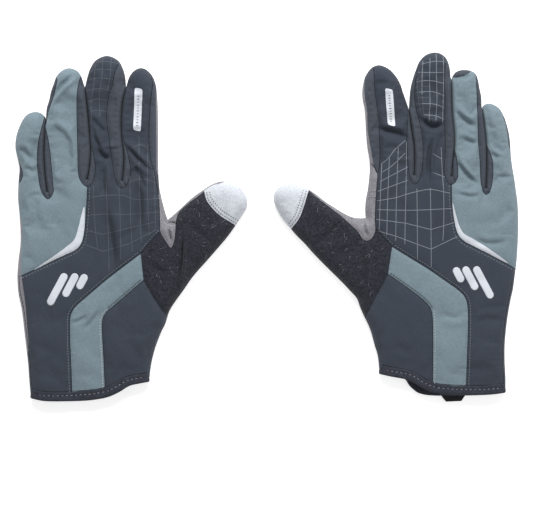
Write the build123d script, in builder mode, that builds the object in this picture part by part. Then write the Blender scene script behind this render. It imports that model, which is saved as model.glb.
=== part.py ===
from build123d import *
from dataclasses import dataclass
import math
import os

# A pair of full-finger cycling gloves, lying palm down with the fingers pointing to +Y.
# Millimetres. The origin is on the surface the gloves rest on, midway between them.

# Driving dimensions
THICKNESS = 13.0  # height of a flat, empty glove
PAD_HEIGHT = 1.0  # how far the palm pads stand out of the palm
PALM_CLOTH = 2.0  # synthetic leather of the palm, with its lining
BACK_CLOTH = 1.6  # softshell of the back, with its lining
WALL = 1.6  # side walls: finger strips and the turned-up edge of the palm
ROUNDING = 1.3  # softened outer edge of the finger panels
JOINT_GAP = 0.4  # room between a finger's root and the hand
ROOT_OVERRUN = 10.0  # how far a finger's outline runs back before its root is rounded off
REACH = 140.0  # longer than any finger

BINDING_WIDTH = 5.8  # hem binding, measured along the hand
BINDING_WALL = 2.2
BINDING_LOW = 0.3
BINDING_HIGH = THICKNESS + 0.5
CUFF_OVERRUN = 4.0

LINING_CLOTH = 0.8
LINING_TOP_Y = -80.0  # the cuff lining ends here, towards the fingers
TRIM_CLOTH = 0.3  # reflective film and woven labels
LABEL_SIZE = (24.0, 14.0)
TAB_THICKNESS = 0.8

HINGE_HEIGHT = THICKNESS / 2
BACK_Z = THICKNESS - BACK_CLOTH  # underside of the back panels
PALM_Z = PAD_HEIGHT + PALM_CLOTH  # inner face of the palm


@dataclass
class Digit:
    """One finger or thumb. low and high are the ends of the line on which it leaves the hand."""

    low: tuple
    high: tuple
    low_side: list  # outline points from the low end towards the tip
    high_side: list  # outline points from the high end towards the tip
    tip: tuple  # the outline's furthest point, on the arc that joins the two sides

    def across(self):
        """Unit vector along the hinge, from low to high."""
        run = Vector(*self.high) - Vector(*self.low)
        return run.normalized()

    def along(self):
        """Unit vector from the hand towards the digit, square to the hinge."""
        return Vector(0, 0, 1).cross(self.across())


@dataclass
class Glove:
    side: str
    hand: list  # outline of the hand, from the outer end of the cuff, clockwise or not
    cuff: list  # upper edge of the hem binding, in order across the cuff
    digits: dict
    ulnar: list
    band: list
    wrist: list
    thumb_base: list
    piping: list
    label: list
    thumb_cap: list
    pads: list  # (centre, angle, length, width)
    mark: list  # (centre, angle, length)
    tab: list
    tab_z: float
    care_label: tuple


LEFT = Glove(
    side="left",
    hand=[
        (-171, -120), (-175.5, -75), (-179, -33), (-178, -10), (-181, 20), (-160, 20), (-160, 29.5),
        (-79.5, 29.5), (-77.5, 21.5), (-72.5, 5.5), (-71, 2), (-45.5, -24.5), (-53, -33),
        (-63.5, -45), (-72, -61), (-77, -73.5), (-82, -89), (-85.5, -107),
        (-101, -109), (-118, -118), (-136, -120.5),
    ],
    cuff=[(-171, -120), (-136, -120.5), (-118, -118), (-101, -109), (-85.5, -107)],
    digits={
        "little": Digit(
            (-182, 20), (-160.6, 20), [(-183.3, 64), (-177, 77)], [(-161, 64), (-159.9, 77)], (-168.5, 84)
        ),
        "ring": Digit(
            (-159.6, 29.5), (-132.4, 29.5), [(-159, 78), (-154, 104)], [(-132, 78), (-134.6, 104)],
            (-144.6, 115.5),
        ),
        "middle": Digit(
            (-131.6, 29.5), (-104.6, 29.5), [(-130.8, 85), (-127.5, 111)], [(-104.4, 85), (-105, 111)],
            (-116.5, 124.5),
        ),
        "index": Digit(
            (-103.8, 29.5), (-79.5, 29.5), [(-103.4, 80), (-101, 105)], [(-79.3, 80), (-81, 105)],
            (-91.5, 115.5),
        ),
        "thumb": Digit(
            (-71, 2), (-45.5, -24.5), [(-57, 19), (-39, 32)], [(-40.5, -17), (-15.5, 12)], (-19, 29)
        ),
    },
    ulnar=[
        (-130, 40), (-131, 13), (-132.7, -10), (-136, -14.5), (-159, -26), (-190, -40), (-190, 40),
    ],
    band=[
        (-91.6, -19), (-116.5, -38), (-141, -59), (-143, -68), (-141.5, -130), (-117, -130),
        (-119.4, -72), (-118, -65), (-111, -57), (-89.5, -38.5),
    ],
    wrist=[
        (-89.5, -38.5), (-111, -57), (-118, -65), (-119.4, -72), (-117, -130), (-60, -130),
        (-60, -85), (-70, -68), (-81, -54),
    ],
    thumb_base=[
        (-78.5, -3.5), (-91.6, -19), (-89.5, -38.5), (-81, -54), (-70, -68), (-30, -40), (-30, 20),
    ],
    piping=[
        (-131.2, 14), (-132.7, -10), (-136, -14.5), (-159, -26), (-170, -31), (-159, -23.5),
        (-139, -12.5), (-136.2, -8),
    ],
    label=[(-96.6, 71.3), (-90.9, 69.3), (-89.9, 99.9), (-95.2, 101.5)],
    thumb_cap=[(-46, 28), (-39.8, 13.7), (-32.7, 6.7), (-19, -1.5), (0, 20), (-20, 50), (-46, 50)],
    pads=[((-153, -72), 86, 62, 24), ((-100, -66), 55, 58, 22), ((-122, 8), 4, 82, 17)],
    mark=[((-152, -45), 62, 26), ((-142.5, -42), 62, 19), ((-134, -39.5), 62, 12)],
    tab=[(-140, -119), (-126, -119), (-128, -107), (-138, -107)],
    tab_z=0.0,
    care_label=(-128, -102),
)

RIGHT = Glove(
    side="right",
    hand=[
        (172.5, -115.5), (173, -75), (178.6, -40), (180, -28), (183, 13), (182.5, 23.5),
        (160.2, 23.5), (160.2, 31), (73.6, 31), (72.5, 15), (71.5, 4), (44, -29.4), (52, -38),
        (67, -54), (73, -64), (78, -79), (82.3, -103), (102, -105), (115, -115.5), (144, -117),
    ],
    cuff=[(82.3, -103), (102, -105), (115, -115.5), (144, -117), (172.5, -115.5)],
    digits={
        "index": Digit(
            (73.6, 31), (107, 31), [(70.6, 80), (70.6, 107)], [(102.6, 80), (97, 104)], (82, 118.5)
        ),
        "middle": Digit(
            (108, 31), (133.6, 31), [(104, 80), (106.6, 113)], [(133.7, 80), (133.4, 113)], (121, 127.3)
        ),
        "ring": Digit(
            (134.4, 31), (159.2, 31), [(134.6, 80), (135.8, 106)], [(155.6, 80), (153.6, 106)],
            (144, 116),
        ),
        "little": Digit(
            (160.8, 23.5), (182.5, 23.5), [(160.7, 58), (157.8, 74), (158, 82)], [(178, 60), (173, 82)],
            (165.5, 90.5),
        ),
        "thumb": Digit(
            (44, -29.4), (71.5, 4), [(17.5, -1.5), (7, 15)], [(47, 19), (25, 31)], (11.5, 30.2)
        ),
    },
    ulnar=[(133.6, 40), (134.5, 16), (138, -5), (143, -10), (195, -38), (195, 40)],
    band=[
        (91, -14), (117, -30), (140, -46), (145, -53), (146, -63), (144.7, -130), (120.4, -130),
        (120, -63), (117, -56), (108, -48), (88, -34),
    ],
    wrist=[
        (88, -34), (108, -48), (117, -56), (120, -63), (120.4, -130), (60, -130), (60, -80),
        (68, -67), (80, -49),
    ],
    thumb_base=[(78, -1), (91, -14), (88, -34), (80, -49), (68, -67), (30, -50), (30, 20)],
    piping=[
        (134.5, 16), (138, -5), (143, -10), (160, -19), (174, -26.7), (160, -16.5), (145, -7.5),
        (140.3, -2.5),
    ],
    label=[(87.5, 75), (92.8, 72.9), (91.8, 98.9), (85.9, 101)],
    thumb_cap=[(31, 28), (27, 14.6), (23.5, 5.7), (16, -4), (-5, 15), (0, 45), (31, 45)],
    pads=[((154, -68), 94, 62, 24), ((101, -64), 125, 58, 22), ((124, 9), -4, 82, 17)],
    mark=[((157, -40), 118, 26), ((147.5, -37), 118, 19), ((139, -34.5), 118, 12)],
    tab=[(128, -122.8), (144, -122.8), (141, -127.3), (132, -127.3)],
    tab_z=1.2,
    care_label=(130, -99),
)


def polygon(points, z):
    """Face with straight edges through the points, at height z."""
    with BuildSketch(Plane.XY.offset(z)) as face:
        with BuildLine():
            Polyline(*points, close=True)
        make_face()
    return face.sketch


def inset(points, distance, z):
    """The polygon with each edge moved in by a distance, at height z."""
    area = sum(a[0] * b[1] - b[0] * a[1] for a, b in zip(points, points[1:] + points[:1]))
    inward = math.copysign(distance, area)
    corners = [Vector(*point) for point in points]
    moved = []
    for before, corner, after in zip(corners[-1:] + corners[:-1], corners, corners[1:] + corners[:1]):
        first = Vector(0, 0, 1).cross((corner - before).normalized())
        second = Vector(0, 0, 1).cross((after - corner).normalized())
        moved.append(corner + (first + second) * (inward / (1 + first.dot(second))))
    return polygon(moved, z)


def digit_face(digit, z, distance=0.0):
    """A digit's outline, drawn in by a distance and run back past its root, at height z."""
    back = digit.along() * ROOT_OVERRUN
    low, high = Vector(*digit.low), Vector(*digit.high)
    with BuildSketch(Plane.XY.offset(z)) as face:
        with BuildLine():
            start = [low - back, low, *digit.low_side]
            end = [high - back, high, *digit.high_side]
            Polyline(*start)
            Polyline(*end)
            Line(low - back, high - back)
            ThreePointArc(digit.low_side[-1], digit.tip, digit.high_side[-1])
        make_face()
        if distance:
            offset(amount=-distance)
    return face.sketch


def digit_envelope(digit):
    """Profile that keeps a digit beyond its hinge, rounded about the hinge axis so it can turn."""
    along, across = digit.along(), digit.across()
    centre = Vector(*digit.low) + along * (JOINT_GAP + HINGE_HEIGHT) - across * ROOT_OVERRUN
    side = Plane(origin=centre + Vector(0, 0, HINGE_HEIGHT), x_dir=along, z_dir=across)
    with BuildSketch(side) as profile:
        Circle(HINGE_HEIGHT)
        with Locations((REACH / 2, 0)):
            Rectangle(REACH, THICKNESS)
    return profile.sketch


def passage(digit, z):
    """The way from the hand's hollow into a digit, at height z."""
    along, across = digit.along(), digit.across()
    low = Vector(*digit.low) + across * WALL
    high = Vector(*digit.high) - across * WALL
    corners = [low - along * 4 * WALL, low + along * WALL, high + along * WALL, high - along * 4 * WALL]
    return polygon(corners, z)


def cuff_passage(glove, wall, z):
    """The open end of the cuff, inside side walls of the given thickness, at height z."""
    (first_x, first_y), *middle, (last_x, last_y) = glove.cuff
    inward = math.copysign(wall, last_x - first_x)
    edge = [(first_x + inward, first_y), *middle, (last_x - inward, last_y)]
    above = [(x, y + CUFF_OVERRUN) for x, y in edge]
    below = [(x, y - BINDING_WIDTH - CUFF_OVERRUN) for x, y in reversed(edge)]
    return polygon(above + below, z)


def save(builder, label):
    builder.part.label = label
    export_step(builder.part, f"parts/{label}.step")


def make_back(glove):
    """The back of the hand, cut along its seams into five panels."""
    regions = {
        "back_ulnar_panel": glove.ulnar,
        "back_band": glove.band,
        "back_wrist_panel": glove.wrist,
        "thumb_base_panel": glove.thumb_base,
    }
    for label, region in regions.items():
        with BuildPart() as panel:
            extrude(polygon(glove.hand, BACK_Z), amount=BACK_CLOTH)
            extrude(polygon(region, BACK_Z), amount=BACK_CLOTH, mode=Mode.INTERSECT)
        save(panel, f"{glove.side}_{label}")

    with BuildPart() as centre:
        extrude(polygon(glove.hand, BACK_Z), amount=BACK_CLOTH)
        for region in regions.values():
            extrude(polygon(region, BACK_Z), amount=BACK_CLOTH, mode=Mode.SUBTRACT)
    save(centre, f"{glove.side}_back_centre_panel")


def make_palm(glove):
    """The palm, turned up round the edges of the hand, and its pads."""
    hollow = BACK_Z - PALM_Z
    with BuildPart() as palm:
        extrude(polygon(glove.hand, PAD_HEIGHT), amount=BACK_Z - PAD_HEIGHT)
        extrude(inset(glove.hand, WALL, PALM_Z), amount=hollow, mode=Mode.SUBTRACT)
        for digit in glove.digits.values():
            extrude(passage(digit, PALM_Z), amount=hollow, mode=Mode.SUBTRACT)
        extrude(cuff_passage(glove, WALL, PALM_Z), amount=hollow, mode=Mode.SUBTRACT)
    save(palm, f"{glove.side}_palm_panel")

    with BuildPart() as pads:
        for centre, angle, length, width in glove.pads:
            with BuildSketch(Plane.XY):
                with Locations(Location((*centre, 0), (0, 0, angle))):
                    SlotOverall(length, width)
        extrude(amount=PAD_HEIGHT)
    save(pads, f"{glove.side}_palm_pads")


def make_cuff(glove):
    """Hem binding, pull tab, the lining inside the cuff and the care label sewn to it."""
    hem = [(x, y - BINDING_WIDTH) for x, y in reversed(glove.cuff)]
    with BuildPart() as binding:
        extrude(polygon(glove.cuff + hem, BINDING_LOW), amount=BINDING_HIGH - BINDING_LOW)
        opening_low = BINDING_LOW + BINDING_WALL
        opening = BINDING_HIGH - BINDING_LOW - 2 * BINDING_WALL
        extrude(cuff_passage(glove, BINDING_WALL, opening_low), amount=opening, mode=Mode.SUBTRACT)
    save(binding, f"{glove.side}_cuff_binding")

    with BuildPart() as tab:
        extrude(polygon(glove.tab, glove.tab_z), amount=TAB_THICKNESS)
    save(tab, f"{glove.side}_pull_tab")

    with BuildPart() as lining:
        extrude(inset(glove.hand, WALL, PALM_Z), amount=BACK_Z - PALM_Z)
        with BuildSketch(Plane.XY.offset(PALM_Z)):
            with Locations((0, LINING_TOP_Y + REACH)):
                Rectangle(4 * REACH, 2 * REACH)
        extrude(amount=BACK_Z - PALM_Z, mode=Mode.SUBTRACT)
        inner_low = PALM_Z + LINING_CLOTH
        inner_height = BACK_Z - PALM_Z - 2 * LINING_CLOTH
        inner_wall = WALL + LINING_CLOTH
        extrude(inset(glove.hand, inner_wall, inner_low), amount=inner_height, mode=Mode.SUBTRACT)
        extrude(cuff_passage(glove, inner_wall, inner_low), amount=inner_height, mode=Mode.SUBTRACT)
    save(lining, f"{glove.side}_cuff_lining")

    with BuildPart() as label:
        with BuildSketch(Plane.XY.offset(PALM_Z + LINING_CLOTH)):
            with Locations(glove.care_label):
                Rectangle(*LABEL_SIZE)
        extrude(amount=TRIM_CLOTH)
    save(label, f"{glove.side}_care_label")


def make_trim(glove):
    """Reflective piping and mark on the back of the hand, and the label on the index finger."""
    with BuildPart() as piping:
        extrude(polygon(glove.piping, THICKNESS), amount=TRIM_CLOTH)
    save(piping, f"{glove.side}_reflective_piping")

    with BuildPart() as mark:
        for centre, angle, length in glove.mark:
            with BuildSketch(Plane.XY.offset(THICKNESS)):
                with Locations(Location((*centre, 0), (0, 0, angle))):
                    SlotOverall(length, 5.5)
        extrude(amount=TRIM_CLOTH)
    save(mark, f"{glove.side}_reflective_mark")

    with BuildPart() as label:
        extrude(polygon(glove.label, THICKNESS), amount=TRIM_CLOTH)
    save(label, f"{glove.side}_index_label")


def make_finger(glove, name):
    """A finger's back panel, palm panel and the side strip that runs round between them."""
    digit = glove.digits[name]

    with BuildPart() as back:
        extrude(digit_face(digit, BACK_Z), amount=BACK_CLOTH)
        fillet(back.faces().sort_by(Axis.Z)[-1].edges(), ROUNDING)
        extrude(digit_envelope(digit), amount=REACH, mode=Mode.INTERSECT)
    save(back, f"{glove.side}_{name}_back")

    with BuildPart() as palm:
        extrude(digit_face(digit, 0), amount=PALM_CLOTH)
        fillet(palm.faces().sort_by(Axis.Z)[0].edges(), ROUNDING)
        extrude(digit_envelope(digit), amount=REACH, mode=Mode.INTERSECT)
    save(palm, f"{glove.side}_{name}_palm")

    with BuildPart() as sides:
        extrude(digit_face(digit, PALM_CLOTH), amount=BACK_Z - PALM_CLOTH)
        extrude(digit_face(digit, PALM_CLOTH, WALL), amount=BACK_Z - PALM_CLOTH, mode=Mode.SUBTRACT)
        extrude(digit_envelope(digit), amount=REACH, mode=Mode.INTERSECT)
    save(sides, f"{glove.side}_{name}_sides")


def make_thumb(glove):
    """The thumb: a fleece back, a cap over its tip, and a palm turned up round its edges."""
    digit = glove.digits["thumb"]

    with BuildPart() as back:
        extrude(digit_face(digit, BACK_Z), amount=BACK_CLOTH)
        extrude(digit_envelope(digit), amount=REACH, mode=Mode.INTERSECT)
        extrude(polygon(glove.thumb_cap, BACK_Z), amount=BACK_CLOTH, mode=Mode.SUBTRACT)
    save(back, f"{glove.side}_thumb_back")

    with BuildPart() as cap:
        extrude(digit_face(digit, BACK_Z), amount=BACK_CLOTH)
        extrude(polygon(glove.thumb_cap, BACK_Z), amount=BACK_CLOTH, mode=Mode.INTERSECT)
    save(cap, f"{glove.side}_thumb_tip_cap")

    with BuildPart() as palm:
        extrude(digit_face(digit, 0), amount=BACK_Z)
        fillet(palm.faces().sort_by(Axis.Z)[0].edges(), ROUNDING)
        hollow = BACK_Z - PALM_CLOTH
        extrude(digit_face(digit, PALM_CLOTH, WALL), amount=hollow, mode=Mode.SUBTRACT)
        extrude(digit_envelope(digit), amount=REACH, mode=Mode.INTERSECT)
    save(palm, f"{glove.side}_thumb_palm")


os.makedirs("parts", exist_ok=True)
for pair_glove in (LEFT, RIGHT):
    make_back(pair_glove)
    make_palm(pair_glove)
    make_cuff(pair_glove)
    make_trim(pair_glove)
    make_thumb(pair_glove)
    for finger in ("index", "middle", "ring", "little"):
        make_finger(pair_glove, finger)
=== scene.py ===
import math

import bpy
import numpy as np
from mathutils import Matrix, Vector, noise
from mathutils.bvhtree import BVHTree
from mathutils.geometry import delaunay_2d_cdt
from mathutils.kdtree import KDTree


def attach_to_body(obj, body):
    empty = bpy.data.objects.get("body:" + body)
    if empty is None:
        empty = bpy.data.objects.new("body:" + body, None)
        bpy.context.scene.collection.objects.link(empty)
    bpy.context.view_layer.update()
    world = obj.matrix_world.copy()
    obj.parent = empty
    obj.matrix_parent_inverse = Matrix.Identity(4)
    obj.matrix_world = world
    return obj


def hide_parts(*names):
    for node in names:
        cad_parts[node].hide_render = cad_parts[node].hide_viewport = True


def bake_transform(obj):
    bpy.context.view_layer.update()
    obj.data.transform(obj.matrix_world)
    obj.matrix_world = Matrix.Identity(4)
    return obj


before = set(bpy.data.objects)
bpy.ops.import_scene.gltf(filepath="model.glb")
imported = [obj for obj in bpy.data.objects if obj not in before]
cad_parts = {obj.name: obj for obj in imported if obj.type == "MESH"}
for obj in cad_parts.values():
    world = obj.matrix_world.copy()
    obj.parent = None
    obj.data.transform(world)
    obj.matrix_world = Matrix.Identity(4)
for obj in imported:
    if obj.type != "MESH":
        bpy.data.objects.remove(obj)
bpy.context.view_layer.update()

# A pair of full-finger cycling gloves lying palm down. Plan outlines are in millimetres in the row frame:
# X across the pair, Y towards the fingertips, Z up. Meshes are made in millimetres and scaled once.
MM = 0.001

STEP = 1.1  # mesh spacing in plan
SLIT_HALF_GAP = 0.03  # half the gap between neighbouring fingers
SLIT_SHOULDER = 0.42  # where the mesh has a row of points beside each slit
SLIT_ROUNDING = 1.0  # how far from a slit the cloth has rounded over
SEAM_HEIGHT = 4.6  # height at which the back meets the palm, round the glove's edge
CREST = 12.4  # highest part of the back
PALM_LEVEL = 0.95  # underside of the palm, which the pads stand out of
FINGER_LEVEL = 0.45  # underside of the fingers
CLOTH = 0.8  # the cloth's thickness
FOLD_DEPTH = 2.3  # depth of a fold of strength 1
KNUCKLE_LINE = 36  # above this Y the cloth belongs to the fingers
FINGER_CROWN, HAND_CROWN = 11.0, 9.0  # how far in from the edge the back has rounded over
CREST_ROOM = 1.2  # room left under the crest for folds
PALM_ROUNDING, PALM_SLIT_ROUNDING = 6.5, 4.0  # how far in from edges and slits the palm lies flat
EDGE_START = 0.02  # keeps the rounding just off zero at the very edge
SEAM_GROOVE, SEAM_PILLOW = 0.6, 1.0  # how deep a seam lies, in its stitching and in its padding
STRIP_GROOVE, STRIP_PILLOW = 1.0, 1.7  # the same for the seams of the side strips
PUCKER = 0.13  # height of the puckers along a seam
REACH = 26  # distances to edges and seams are measured up to this far
DROP_REACH = 16  # how far up from the hem the palm's overhang fades out
PALM_STEP = 1.7  # mesh spacing of the palm side
LINE_STEP = 0.8  # spacing of the points of printed and sewn lines
PAD_CHANNEL = 2.2  # how far in from a pad's edge its sewn channel runs
SIM_STEP = 2.4  # mesh spacing of the simulated copy
SIM_SCALE = 0.02  # the simulation runs in larger units, which suit its solver
SIM_FRAMES = 22
SIM_CAP = 1.5  # the most that the simulation may move the cloth
CLOTH_SLACK = 0.06  # how much too large for its space the simulated cloth is
BEND_LENGTH = 21.0  # length along a digit's root; attach works out a line this long but doesn't use it
HEM_WIDTH = 5.8  # width of the cuff's binding
FAR, OUTSIDE = 150.0, 25  # beyond every fingertip, and beyond the gloves' outer edges
FINGERS = ("index", "middle", "ring", "little")
DIGITS = FINGERS + ("thumb",)
PANEL_SEAMS = ("ulnar", "band_upper", "band_lower", "wrist", "fleece", "cap", "web")
KINDS = ("piping", "web", "cap", "ulnar", "band", "wrist", "fleece")  # the first that holds a place counts

# ---------------------------------------------------------------- outlines of the two gloves
#
# A fold is (line, depth, width), and negative depths are valleys. A bar of the mark is (centre, angle,
# length), and a pad has its width too. A side strip's points go down one seam and up the other; from the Y
# that follows them, its outline goes on up along the slit. The names that end in _close hold the points
# that close a region round outside the glove. "palm_drop" is (distance from the pair's middle, overhang),
# and "tab" is (far end, near end, their widths, height).

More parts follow.
